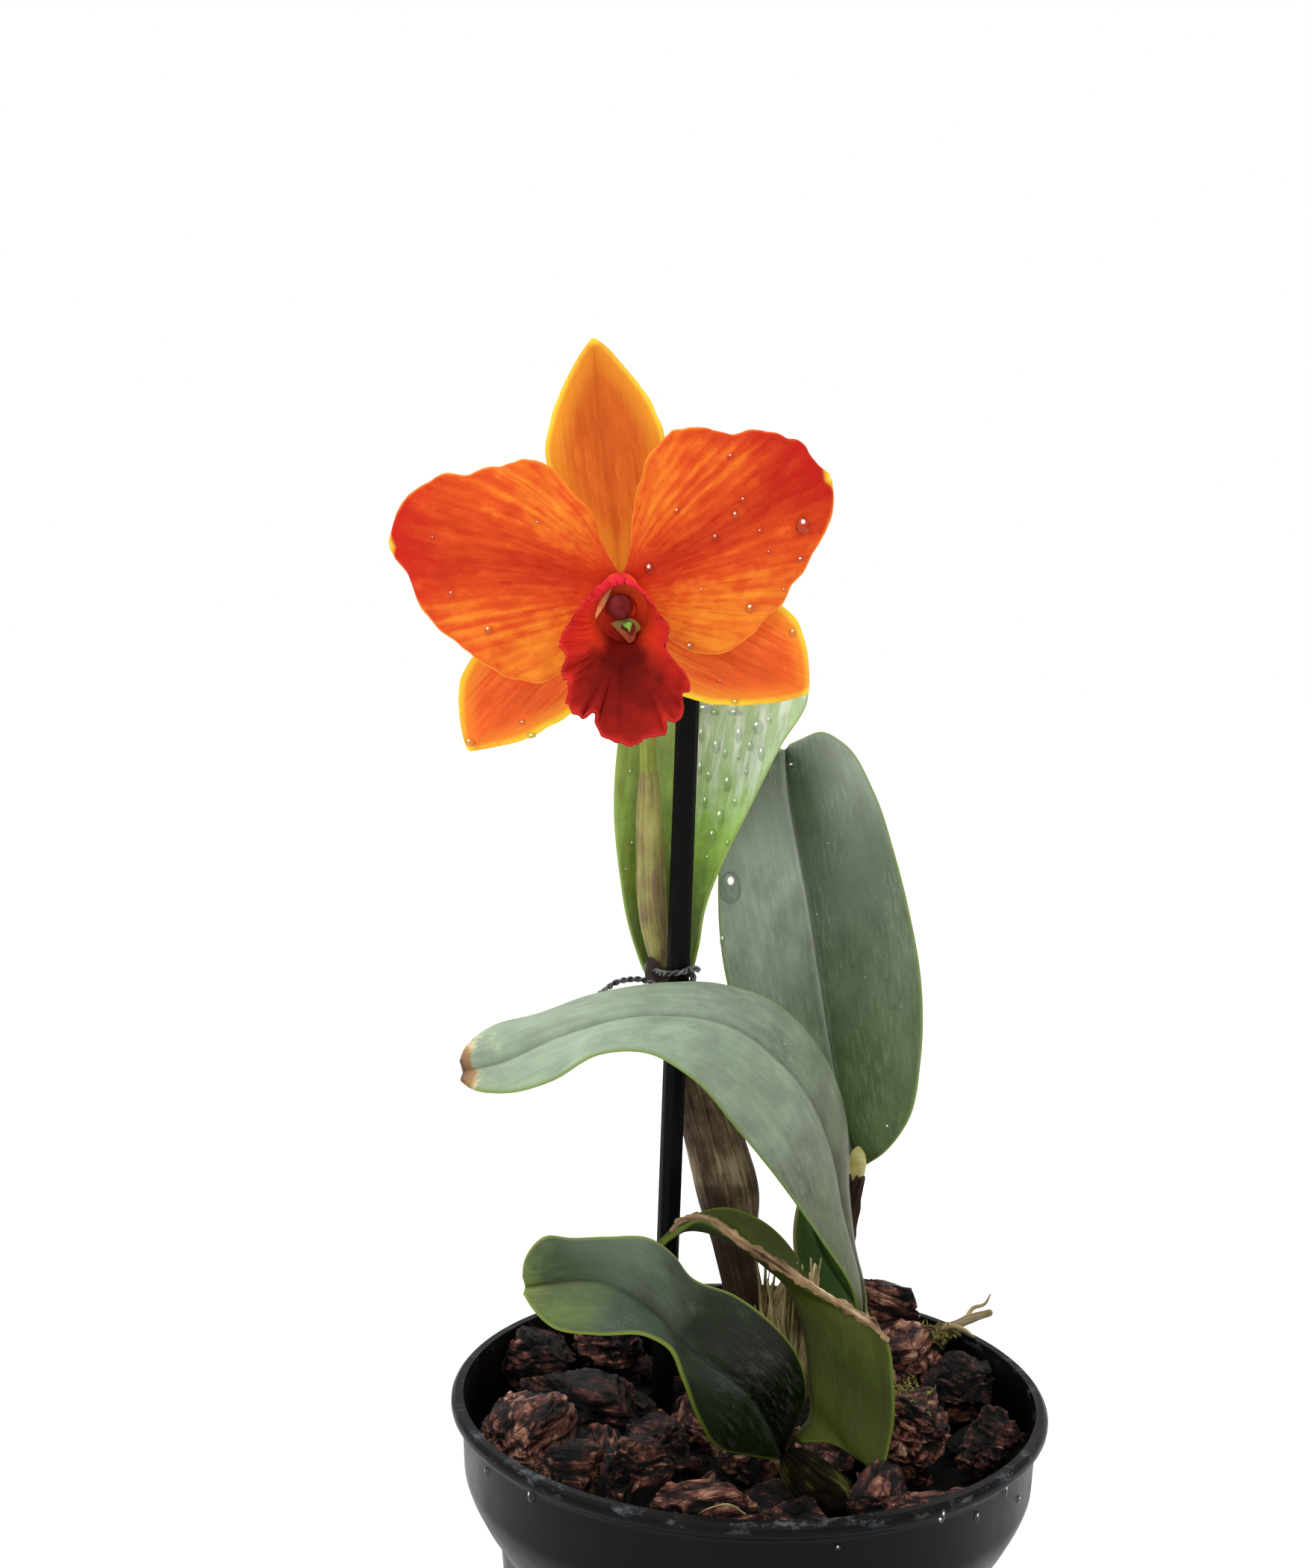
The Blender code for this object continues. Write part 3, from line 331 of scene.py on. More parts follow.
petalRails = {
    "dorsal_sepal": {
        "left": [(-30.4, 7.2, 266.2), (-35.6, 8, 276.5), (-42, 8.5, 285), (-44.5, 9, 293),
                 (-43.5, 9, 298.5), (-41.5, 9, 304.5), (-38.5, 9, 310.5), (-35.5, 9, 315)],
        "mid": [(-29.2, 7.2, 266.2), (-30.5, 8.5, 278.5), (-32.5, 10, 290.5), (-34, 10.5, 302),
                (-35.5, 9, 315)],
        "right": [(-28.0, 7.2, 266.2), (-24.5, 8, 276.5), (-21.5, 8.5, 285.5), (-20.5, 9, 292),
                  (-22.4, 9, 300), (-25.4, 9, 305), (-29.6, 9, 309.8), (-33, 9, 313.3), (-35.5, 9, 315)]},
    "petal_left": {
        "left": [(-30.6, 5.8, 263.6), (-35, 4.5, 255), (-39.5, 4, 249), (-44.5, 3.5, 247.5),
                 (-49.5, 3, 248), (-56, 3, 251), (-62.5, 3.5, 255.5), (-68.5, 4.5, 262),
                 (-71.5, 5.5, 268.5), (-73.5, 6, 271), (-75, 6, 273.5)],
        "mid": [(-30.0, 5.8, 266.2), (-39.5, 3.5, 268), (-51, 2.5, 270), (-63, 3.5, 271), (-75, 6, 273.5)],
        "right": [(-29.6, 5.6, 269.4), (-32.5, 4.5, 274.5), (-35, 4, 280.5), (-38, 3.5, 284),
                  (-44.5, 3, 289.5), (-49.5, 3, 290), (-57, 3, 288), (-66, 4, 286.5), (-70.5, 4.5, 283.5),
                  (-73.5, 5.5, 278.5), (-75, 6, 273.5)]},
    "petal_right": {
        "left": [(-28.4, 5.6, 269.4), (-27.4, 4.5, 272.5), (-27, 4, 280), (-25.5, 3.5, 287.5),
                 (-22.5, 3, 293), (-18.5, 3, 296.4), (-14, 3, 297.2), (-7.5, 3.4, 296.4), (-3.6, 3.7, 296.9),
                 (0.8, 4.2, 296.6), (2.9, 4.4, 295.7), (5, 4.6, 295.5), (6.6, 4.8, 294.5), (7.6, 5.2, 292.7),
                 (9.2, 5.6, 290.6), (11.2, 6, 289.3), (12, 6, 288.5)],
        "mid": [(-28.0, 5.8, 266.2), (-19, 3.5, 271.5), (-7.5, 2.5, 277.5), (2.5, 3.5, 283), (12, 6, 288.5)],
        "right": [(-27.4, 5.8, 263.6), (-21.5, 4.5, 258.5), (-15.5, 4, 254), (-12.5, 3.5, 253),
                  (-9.5, 3, 253.5), (-3.5, 3, 257.5), (2.5, 3.5, 263.5), (7, 4.5, 270.5),
                  (11, 5.5, 277.5), (12.5, 6, 284.5), (12, 6, 288.5)]},
    "lateral_sepal_left": {
        "left": [(-31.8, 8, 263.9), (-42.5, 9, 258.5), (-53, 9.5, 255), (-58.5, 10, 251.5),
                 (-61, 10, 246), (-61, 9.5, 240), (-60, 9, 235), (-59, 8.5, 232.5)],
        "mid": [(-31, 8, 263.1), (-38.5, 9, 254.5), (-49, 9.5, 244), (-59, 8.5, 232.5)],
        "right": [(-30.2, 8, 262.4), (-32.5, 9, 252), (-35, 9.5, 244), (-38.5, 10, 240.5),
                  (-42.5, 10, 238), (-48, 9.5, 235), (-54, 9, 233.5), (-59, 8.5, 232.5)]},
    "lateral_sepal_right": {
        "left": [(-26.2, 8, 263.9), (-14.5, 9, 264.5), (-4, 9.5, 264.5), (2.5, 10, 263.5), (6, 10, 260.5),
                 (8, 9.5, 256), (9, 9, 249), (9, 8.5, 245.5)],
        "mid": [(-27, 8, 263.1), (-17, 9, 257.5), (-3.5, 9.5, 251.5), (9, 8.5, 245.5)],
        "right": [(-27.8, 8, 262.4), (-24, 9, 253.5), (-20, 9.5, 247), (-14.5, 10, 244), (-9.5, 10, 243),
                  (-3.5, 9.5, 243), (4, 9, 244), (9, 8.5, 245.5)]}}


def bladeSheet(rails, shape, rows, columns):
    # point = midrib + share of the way to the scalloped edge + face normal * (arch + edge wave + folds)
    t = np.linspace(0, 1, rows)
    along = t * 0.99                                   # ends just short of where the edges meet
    spread = np.linspace(-1, 1, columns)
    across = spread * (1.5 - 0.5 * spread**2)          # closer together towards the edges
    left, mid, right = (smoothCurve(rails[key], along) for key in ("left", "mid", "right"))
    step = 0.01
    ahead = smoothCurve(rails["mid"], np.clip(along + step, 0, 1))
    behind = smoothCurve(rails["mid"], np.clip(along - step, 0, 1))
    face = unit(np.cross(right - left, ahead - behind))
    side = np.where((across < 0)[None, :, None], (left - mid)[:, None], (right - mid)[:, None])
    width = np.linalg.norm(side, axis=2)
    out = np.abs(across)[None, :]
    t = t[:, None]
    belly = np.sin(math.pi * t)                        # nothing at both ends
    swing = np.sin(2 * math.pi * shape.get("waves", 0.0) * t + across) * belly
    lift = shape["arch"] * width * 4 * out * (1 - out) + shape.get("wave", 0.0) * out**2 * swing
    frill = softNoise(joined(across * 3, t * 26, width * 0), 1.0, 2)
    lift = lift + shape.get("ripple", 0.0) * out**4 * frill * np.minimum(1, 6 * t)
    teeth = softNoise(joined(np.sign(across) * 40, t * 17, width * 0), 1.0, 3)
    reach = out * (1 + shape.get("scallop", 0.0) * out**6 * teeth * belly)
    sheet = mid[:, None] + side * reach[..., None] + face[:, None] * lift[..., None]
    length = lengthAlong(mid)[:, None]
    edge = np.minimum((1 - out) * width, length[-1] - length + 0.4)
    return sheet, face, {"place": joined(across * width, length, edge), "share": joined(across, t, width * 0)}


def bladePart(rails, shape, rows=110, columns=45):
    # the sheet moved up and down by half its thickness, which falls to nothing in a round edge
    sheet, face, fields = bladeSheet(rails, shape, rows, columns)
    grain = shape.get("uneven", 0.0) * softNoise(sheet, shape.get("cell", 14.0), 2)
    across = fields["share"][..., 0]
    out = np.abs(across)
    width = np.abs(fields["place"][..., 0]) / np.maximum(out, 1e-3)
    normal = unit(np.cross(np.gradient(sheet, axis=1), np.gradient(sheet, axis=0)))
    normal = normal * np.where((normal * face[:, None]).sum(-1, keepdims=True) < 0, -1, 1)
    near = fields["place"][..., 2]
    rim = np.sqrt(1 - (1 - np.clip(near / shape["rim"], 0, 1))**2)
    rim[:, [0, -1]] = 0
    half = shape["thick"] / 2 * rim * (1 - 0.35 * out**2)
    keel = shape.get("keel", 0.0) * np.exp(-(out * width / 1.4)**2) * rim
    groove = shape.get("groove", 0.0) * np.exp(-(out * width / 0.9)**2) * rim
    sheet = sheet + normal * (grain * rim)[..., None]
    upper = sheet + normal * (half - groove)[..., None]
    lower = sheet - normal * (half + keel)[..., None]
    back = {key: value.copy() for key, value in fields.items()}
    back["share"][..., 2] = 1.0                        # 1 on the underside
    return closedSheet(upper, lower, fields, back)


# Leaf: thick, leathery and smooth, waxy with a painted whitish sheen, fine veins that run lengthwise and a pale
# edge
leafShape = {"arch": 0.06, "thick": 1.3, "rim": 0.7, "keel": 0.5, "groove": 0.3, "uneven": 0.25}
# Each half's colours carry painted light and shade: the lit half is lighter and the shaded half darker.
leafLooks = {            # colours from foot to tip; edge, underside, painted edge sheen, scuffs, shine, gloss, painted sheen of a wet film
    # leaf_behind_flower: its left half is painted lighter where the flower's shadow falls, and the pale stops
    # of its right half are painted sheen of the wet film
    "leaf_behind_flower": {
        "left": [(0.0, "#46591c"), (1.0, "#a9c074"), (0.24, "#5e7424"), (0.45, "#94b054")],
        "right": [(0.0, "#4a5c20"), (0.8, "#a6c896"), (0.15, "#5c7230"), (0.36, "#92ba52"), (0.52, "#b4d4a0")],
        "edge": "#8ca848", "under": "#7d9654", "edgeSheen": 0.1, "scuffs": 0.15, "shine": 0.4, "gloss": 0.22,
        "film": 0.85, "slot": "fresh_leaf"},
    "leaf_right": {
        "left": [(0.0, "#40522a"), (0.98, "#545f4c"), (0.3, "#647258"), (0.57, "#7f8b79"), (0.75, "#8c9787")],
        "right": [(0.0, "#41562a"), (1.0, "#35422e"), (0.13, "#566b40"), (0.35, "#5a6c4c"), (0.6, "#5f6e58"),
                  (0.82, "#4e5d45")],
        "edge": "#7c9048", "under": "#5c7040", "edgeSheen": 0.6, "scuffs": 0.3, "shine": 0.35, "gloss": 0.36,
        "slot": "leaf"},
    "leaf_arching": {
        "left": [(0.0, "#50562e"), (0.96, "#8c9e82"), (0.22, "#5d674d"), (0.41, "#7b8872"), (0.8, "#8a9d86")],
        "right": [(0.0, "#40401e"), (0.96, "#889980"), (0.2, "#4a4a28"), (0.4, "#647059"), (0.65, "#80907b")],
        "edge": "#7c9448", "under": "#6a7d4a", "edgeSheen": 0.1, "scuffs": 0.3, "shine": 0.35, "gloss": 0.42,
        "slot": "leaf"},
    # leaf_front_left: painted nearly black as shade, its upper half darkest
    "leaf_front_left": {
        "left": [(0.0, "#101a06"), (1.0, "#5c6c2c"), (0.24, "#141e0c"), (0.52, "#20291a"), (0.75, "#364534")],
        "right": [(0.0, "#040a01"), (1.0, "#4c5c24"), (0.22, "#060e02"), (0.5, "#161e0c"), (0.72, "#4c5846"),
                  (0.9, "#2f3e21")],
        "edge": "#76882f", "under": "#37481f", "edgeSheen": 0.05, "scuffs": 0.12, "shine": 0.3, "gloss": 0.34,
        "slot": "leaf"},
    "leaf_front_right": {
        "left": [(0.0, "#3a4212"), (1.0, "#2c3820"), (0.3, "#323a0a"), (0.6, "#30371a")],
        "right": [(0.0, "#434c12"), (1.0, "#2c3820"), (0.3, "#303a06"), (0.5, "#3e470c")],
        "edge": "#59681e", "under": "#363f11", "edgeSheen": 0.0, "scuffs": 0.04, "shine": 0.2, "gloss": 0.5,
        "slot": "leaf"},
    "leaf_young": {
        "left": [(0.0, "#3a5520"), (1.0, "#5d7a34"), (0.5, "#44632a")],
        "right": [(0.0, "#3a5520"), (1.0, "#668440"), (0.5, "#4f7030")],
        "edge": "#a39a66", "under": "#4c6a2c", "edgeSheen": 0.0, "scuffs": 0.05, "shine": 0.3, "gloss": 0.4,
        "slot": "fresh_leaf"}}
leafCallus = {"leaf_arching": ((0.94, "#a8bb92"), (1.0, "#5e4026"), (0.968, "#c9bc92"), (0.978, "#94703f"))}


def leafFinish(name, looks):
    # leaf cuticle: waxy, half glossy; veins 1.1 mm apart, cloudy patches 9 mm across, rubbed dust and specks
    made, add, shader = newFinish(name + "Cuticle", {"IOR": 1.45, "Specular IOR Level": looks["shine"],
                                                     "Subsurface Weight": 0.05, "Subsurface Scale": 0.002})
    place = add("Attribute", out="Vector", attribute_name="place")
    onPlace = add("SeparateXYZ", place).node.outputs
    onShare = add("SeparateXYZ", add("Attribute", out="Vector", attribute_name="share")).node.outputs
    clouds = add("TexNoise", Vector=place, Scale=0.11, Detail=6.0, Roughness=0.6)
    uneven = add("MapRange", clouds, 0.3, 0.7, -0.05, 0.05)
    along = add("Math", onShare[1], uneven, operation="ADD")
    left = add("ValToRGB", along, stops=looks["left"])
    right = add("ValToRGB", along, stops=looks["right"])
    half = add("MapRange", onPlace[0], -0.5, 0.5, interpolation_type="SMOOTHSTEP")
    skin = add("Mix", half, left, right)
    # painted sheen: whitish towards the outer edge, high on the leaf
    outward = add("MapRange", onShare[0], 0.3, 0.95, 0.0, looks["edgeSheen"])
    upper = add("MapRange", onShare[1], 0.62, 0.85, interpolation_type="SMOOTHSTEP")
    paintedEdgeSheen = add("Math", outward, upper, operation="MULTIPLY")
    crest = add("MapRange", onPlace[0], -2.4, -0.7, 0.0, 1.0)          # the lit ridge beside the midrib
    besides = add("MapRange", onPlace[0], -0.7, -0.3, 1.0, 0.0)
    ridge = add("Math", crest, besides, operation="MULTIPLY")
    # painted light: a whitish strip on the ridge beside the midrib
    paintedShading = add("Math", ridge, 0.6 * looks["edgeSheen"], operation="MULTIPLY")
    # painted sheen of a wet film: whitish streaks high on the right half
    trails = add("VectorMath", place, (0.42, 0.05, 0.0), operation="MULTIPLY")
    runs = add("TexNoise", Vector=trails, Scale=1.0, Detail=4.0, Roughness=0.6)
    wetSheenAmount = add("MapRange", runs, 0.46, 0.6, 0.0, looks.get("film", 0.0))
    onRight = add("Math", wetSheenAmount, half, operation="MULTIPLY")
    high = add("MapRange", onShare[1], 0.3, 0.55, interpolation_type="SMOOTHSTEP")
    paintedWetSheen = add("Math", onRight, high, operation="MULTIPLY")
    layers = [(paintedEdgeSheen, "#b2bdb0"), (paintedShading, "#b2bdb0"), (paintedWetSheen, "#dff2dc"), (onShare[2], looks["under"])]
    for mask, colour in layers:
        skin = add("Mix", mask, skin, colour)
    drawn = add("VectorMath", place, (0.9, 0.03, 0.0), operation="MULTIPLY")
    veins = add("TexNoise", Vector=drawn, Scale=1.0, Detail=4.0, Roughness=0.6)
    veinTone = add("MapRange", veins, 0.3, 0.7, 0.9, 1.1)
    cloudTone = add("MapRange", clouds, 0.3, 0.7, 0.76, 1.2)
    # darker along the midrib: painted shade in its groove
    rib = add("MapRange", add("Math", onPlace[0], operation="ABSOLUTE"), 0.15, 0.8, 0.66, 1.0)
    tone = add("Math", veinTone, cloudTone, operation="MULTIPLY")
    ribbed = add("Math", tone, rib, operation="MULTIPLY")
    skin = add("Mix", 1.0, skin, ribbed, blend_type="MULTIPLY")
    patchy = add("TexNoise", Vector=place, Scale=0.07, Detail=2.0)
    some = add("MapRange", patchy, 0.42, 0.6, 0.0, 1.0)
    specks = add("TexVoronoi", Vector=place, Scale=0.6)
    dots = add("MapRange", specks, 0.04, 0.11, 2 * looks["scuffs"], 0.0)
    stretched = add("VectorMath", place, (1.2, 0.25, 0.0), operation="MULTIPLY")
    wipes = add("TexNoise", Vector=stretched, Scale=1.0, Detail=6.0, Roughness=0.75)
    scuffs = add("MapRange", wipes, 0.48, 0.74, 0.0, looks["scuffs"])
    marks = add("Math", dots, scuffs, operation="MAXIMUM")
    dusty = add("Math", marks, some, operation="MULTIPLY")
    margin = add("MapRange", onPlace[2], 0.15, 0.8, 0.85, 0.0)
    layers = [(dusty, "#b9c4ae"), (margin, looks["edge"])]
    if name in leafCallus:       # a corky brown scar at the tip with a cream line before it
        scar = add("ValToRGB", onShare[1], stops=leafCallus[name])
        layers.append((add("MapRange", along, 0.955, 0.97), scar))
    for mask, colour in layers:
        skin = add("Mix", mask, skin, colour)
    gloss = add("MapRange", clouds, 0.35, 0.7, looks["gloss"] - 0.06, looks["gloss"] + 0.12)
    height = add("Math", veins, wipes, operation="ADD")
    bump = add("Bump", Strength=0.4, Distance=0.0002, Height=height)
    fill(shader, {"Base Color": skin, "Roughness": gloss, "Normal": bump})
    return made


for nodeName, looks in leafLooks.items():
    part = bladePart(leafRails[nodeName], leafShape)
    buildPiece(nodeName + "_blade", [part], leafFinish(nodeName, looks), [nodeName])
print("leaves done")


# Petals and sepals: thin, soft and slightly crystalline, mottled between branching veins
petalShape = {"arch": 0.05, "thick": 0.8, "rim": 0.45, "groove": 0.1, "keel": 0.15, "uneven": 0.4, "cell": 9.0,
              "wave": 0.9, "waves": 4.5, "ripple": 0.45, "scallop": 0.028}
sepalShape = {"arch": 0.05, "thick": 0.8, "rim": 0.45, "groove": 0.1, "keel": 0.25, "uneven": 0.3, "cell": 12.0,
              "wave": 0.15, "waves": 2.0, "scallop": 0.012}
veinFan = {"origin": 5.0, "angleStep": 0.075, "stretch": 0.2}
petalLooks = {           # veins, flesh, patches; end, side it lies to, reach; lower edge; rim and its widths
    "petal_left": {"vein": "#bf2c0c", "body": "#db5018", "patch": "#f08c28", "end": "#c81c12", "side": -0.02,
                   "reach": (0.66, 1.04), "low": -1.0, "foot": "#cf3a18", "glow": "#e06a20", "rim": "#f0902e",
                   "width": (0.1, 0.5, 0.9)},
    "petal_right": {"vein": "#ba280a", "body": "#d95018", "patch": "#f08c26", "end": "#bc190e", "side": -0.14,
                    "reach": (0.6, 1.02), "low": 1.0, "foot": "#cc3016", "glow": "#e06a20", "rim": "#f0902e",
                    "width": (0.1, 0.5, 0.9)},
    "dorsal_sepal": {"vein": "#b84c14", "body": "#d0621c", "patch": "#e08228", "end": "#dc7c20", "side": 0.0,
                     "reach": (0.6, 1.2), "low": 0.0, "foot": "#d87a20", "glow": "#eda02c", "rim": "#fbd840",
                     "width": (0.4, 1.4, 6.0)},
    "lateral_sepal_left": {"vein": "#d44a1a", "body": "#ee6a2c", "patch": "#f8963c", "end": "#ea6c22",
                           "side": 0.0, "reach": (0.6, 1.2), "low": 0.0, "foot": "#d8441a", "glow": "#f49a30",
                           "rim": "#fad63a", "width": (0.5, 1.8, 5.0)},
    "lateral_sepal_right": {"vein": "#d04a1a", "body": "#ec6628", "patch": "#f89238", "end": "#ea6c22",
                            "side": 0.0, "reach": (0.6, 1.2), "low": 0.0, "foot": "#d8441a", "glow": "#f4982e",
                            "rim": "#fad63a", "width": (0.5, 1.8, 5.0)}}


def fanField(part):
    # fan of the veins: angle about a point behind the base, and the logarithm of the distance from it
    across, along = part["fields"]["place"][:, 0], part["fields"]["place"][:, 1] + veinFan["origin"]
    away = np.hypot(across, along)
    part["fields"]["fan"] = np.stack([np.arctan2(across, along) / veinFan["angleStep"],
                                      np.log(away) / veinFan["stretch"], away * 0], 1)
    return part


def petalFinish(name, looks, isPetal):
    # petal skin: satin over a juicy body; veins about 2 mm apart, soft patches drawn out along them
    made, add, shader = newFinish(name + "Skin", {"Roughness": 0.5, "IOR": 1.4, "Specular IOR Level": 0.16,
                                                  "Subsurface Weight": 0.15, "Subsurface Scale": 0.0015})
    place = add("Attribute", out="Vector", attribute_name="place")
    fan = add("Attribute", out="Vector", attribute_name="fan")
    onPlace = add("SeparateXYZ", place).node.outputs
    onShare = add("SeparateXYZ", add("Attribute", out="Vector", attribute_name="share")).node.outputs
    lines = fan if isPetal else add("VectorMath", place, (0.8, 0.1, 0.0), operation="MULTIPLY")
    wander = add("TexNoise", out="Color", Vector=place, Scale=0.6, Detail=3.0)
    shifted = add("VectorMath", wander, (0.7, 0.7, 0.0), lines, operation="MULTIPLY_ADD")
    net = add("TexVoronoi", Vector=shifted, Scale=1.4 if isPetal else 2.0, Smoothness=0.5, feature="SMOOTH_F1")
    streak = add("TexNoise", Vector=shifted, Scale=1.5 if isPetal else 2.2, Detail=5.0, Roughness=0.6)
    radial = add("VectorMath", lines, (2.0, 0.25, 0.0), operation="MULTIPLY")
    rays = add("TexNoise", Vector=radial, Scale=1.0, Detail=3.0, Distortion=0.4)
    cloud = add("TexNoise", Vector=place, Scale=0.09, Detail=3.0)
    cells = add("MapRange", net, 0.1, 0.8, 0.06, -0.08)
    grain = add("MapRange", streak, 0.3, 0.7, 0.43, 0.57)
    branch = add("MapRange", rays, 0.3, 0.7, -0.1, 0.1)
    drift = add("MapRange", cloud, 0.3, 0.7, 0.42, 0.58)
    lower = add("MapRange", onShare[0], -1.0, 1.0, -0.05 * looks["low"], 0.05 * looks["low"])
    outer = add("Math", onShare[0], operation="ABSOLUTE")
    blush = 1.0 if isPetal else 0.3          # the flanks are lighter than the middle, less so on the sepals
    flank = add("MapRange", outer, 0.05, 0.65, -0.15 * blush, 0.15 * blush)
    inner = add("MapRange", onShare[1], 0.4, 0.9, 1.0, 0.0)
    flanks = add("Math", flank, inner, operation="MULTIPLY")
    outwards = add("MapRange", onShare[1], 0.35, 1.0, 0.03, -0.2 * blush)
    level = grain
    for more in (cells, branch, drift, lower, flanks, outwards):
        level = add("Math", level, more, operation="ADD")
    tone = add("MapRange", level, 0.68, 1.34, 0.0, 1.0)
    skin = add("ValToRGB", tone, stops=[(0.1, looks["vein"]), (0.9, looks["patch"]), (0.5, looks["body"])])
    ragged = add("MapRange", streak, 0.3, 0.7, 0.09, -0.09)
    lean = add("Math", onShare[0], looks["side"], onShare[1], operation="MULTIPLY_ADD")
    frayed = add("Math", lean, ragged, operation="ADD")
    redness = add("MapRange", frayed, looks["reach"][0], looks["reach"][1], 0.0, 0.92,
                  interpolation_type="SMOOTHSTEP")
    aside = add("Math", onPlace[0], operation="ABSOLUTE")
    midrib = add("MapRange", aside, 0.3, 3.6 if isPetal else 1.2, 0.6 if isPetal else 0.5, 0.0)
    onBase = add("MapRange", onShare[1], 0.1, 0.95, 1.0, 0.1)
    middle = add("Math", midrib, onBase, operation="MULTIPLY")
    foot = add("MapRange", onShare[1], 0.05, 0.3, 0.75, 0.0, interpolation_type="SMOOTHSTEP")
    first, second, third = looks["width"]
    plain = add("Math", 1.0, redness, operation="SUBTRACT")
    glow = add("MapRange", onPlace[2], second * 0.6, third, 0.85, 0.0, interpolation_type="SMOOTHSTEP")
    glowAt = add("Math", glow, plain, operation="MULTIPLY")
    margin = add("MapRange", onPlace[2], first, second, 0.95, 0.0, interpolation_type="SMOOTHSTEP")
    rimAt = add("Math", margin, plain, operation="MULTIPLY")
    point = add("MapRange", onShare[1], 0.965, 0.99, 0.0, 0.95)
    layers = [(redness, looks["end"]), (middle, looks["vein"]), (foot, looks["foot"]), (glowAt, looks["glow"]),
              (rimAt, looks["rim"]), (point, "#fbd23c")]
    for mask, colour in layers:
        skin = add("Mix", mask, skin, colour)
    grit = add("TexVoronoi", Vector=place, Scale=4.0)
    height = add("Math", grit, tone, operation="ADD")
    bump = add("Bump", Strength=0.4, Distance=0.00015, Height=height)
    fill(shader, {"Base Color": skin, "Normal": bump})
    return made


for nodeName, looks in petalLooks.items():
    isPetal = nodeName.startswith("petal")
    part = fanField(bladePart(petalRails[nodeName], petalShape if isPetal else sepalShape, 120, 61))
    slot = "petal" if isPetal else "sepal"
    buildPiece(nodeName + "_blade", [part], petalFinish(nodeName, looks, isPetal), [nodeName])
print("petals and sepals done")


# Lip: a tube round the column whose margin spreads into two side lobes and a ruffled front lobe
lipAxis = [(-29.0, 3.6, 265.4), (-28.8, -3.0, 263.2), (-28.0, -11.0, 259.6)]
lipRings = [(3.3, 3.3), (4.4, 4.6), (6.0, 7.4)]      # half width and half height of the tube there
lipMargin = [          # angle from straight down, + to the right; distance from the tube's end; depth
    (-180, 8.5, -9.7), (-172, 8.8, -10.1), (-156, 8.7, -10.7), (-140, 8.2, -11.4), (-122, 8.4, -12.2),
    (-107, 8.9, -12.6), (-92, 9.8, -12.2), (-81, 11.4, -11.6), (-71, 12.7, -11.0), (-62, 12.8, -11.6),
    (-56, 12.8, -12.6), (-51, 14.8, -12.2), (-45, 15.1, -13.2), (-40, 15.9, -14.6), (-36, 17.8, -14.2),
    (-30, 19.0, -15.4), (-25, 19.4, -17.2), (-21.5, 19.4, -16.2), (-18.5, 17.2, -18.8),
    (-15.6, 17.3, -18.6), (-14.2, 19.8, -17.0), (-11, 20.7, -18.4), (-6, 21.7, -19.0), (0, 22.7, -19.4),
    (6, 22.6, -19.2), (12, 21.8, -18.8), (18, 22.2, -19.1), (22.6, 22.2, -17.4), (25.2, 19.9, -18.2),
    (30, 20.8, -16.0), (35.6, 20.4, -15.2), (38, 18.8, -16.2), (40, 17.6, -14.6), (46, 17.8, -14.0),
    (50, 16.4, -12.8), (53, 13.6, -12.8), (58, 9.8, -12.0), (70, 9.0, -12.4), (82, 8.8, -12.2),
    (92, 8.0, -12.6), (104, 6.9, -12.8), (120, 6.4, -12.5), (140, 6.4, -11.8), (158, 6.9, -11.0),
    (172, 8.1, -10.0), (180, 8.5, -9.7)]
lipShape = {"seam": 179.6, "thick": 0.7, "rim": 0.5, "ruffle": 1.0, "teeth": 0.32, "toothCount": 110,
            "groove": 0.45, "grooveWidth": 0.6, "grooveReach": 0.8, "fold": 0.15, "foldCount": 4.2,
            "foldReach": 1.1, "furrow": 0.6, "furrowFrom": -0.75, "spreadFrom": 0.66, "calm": 61}


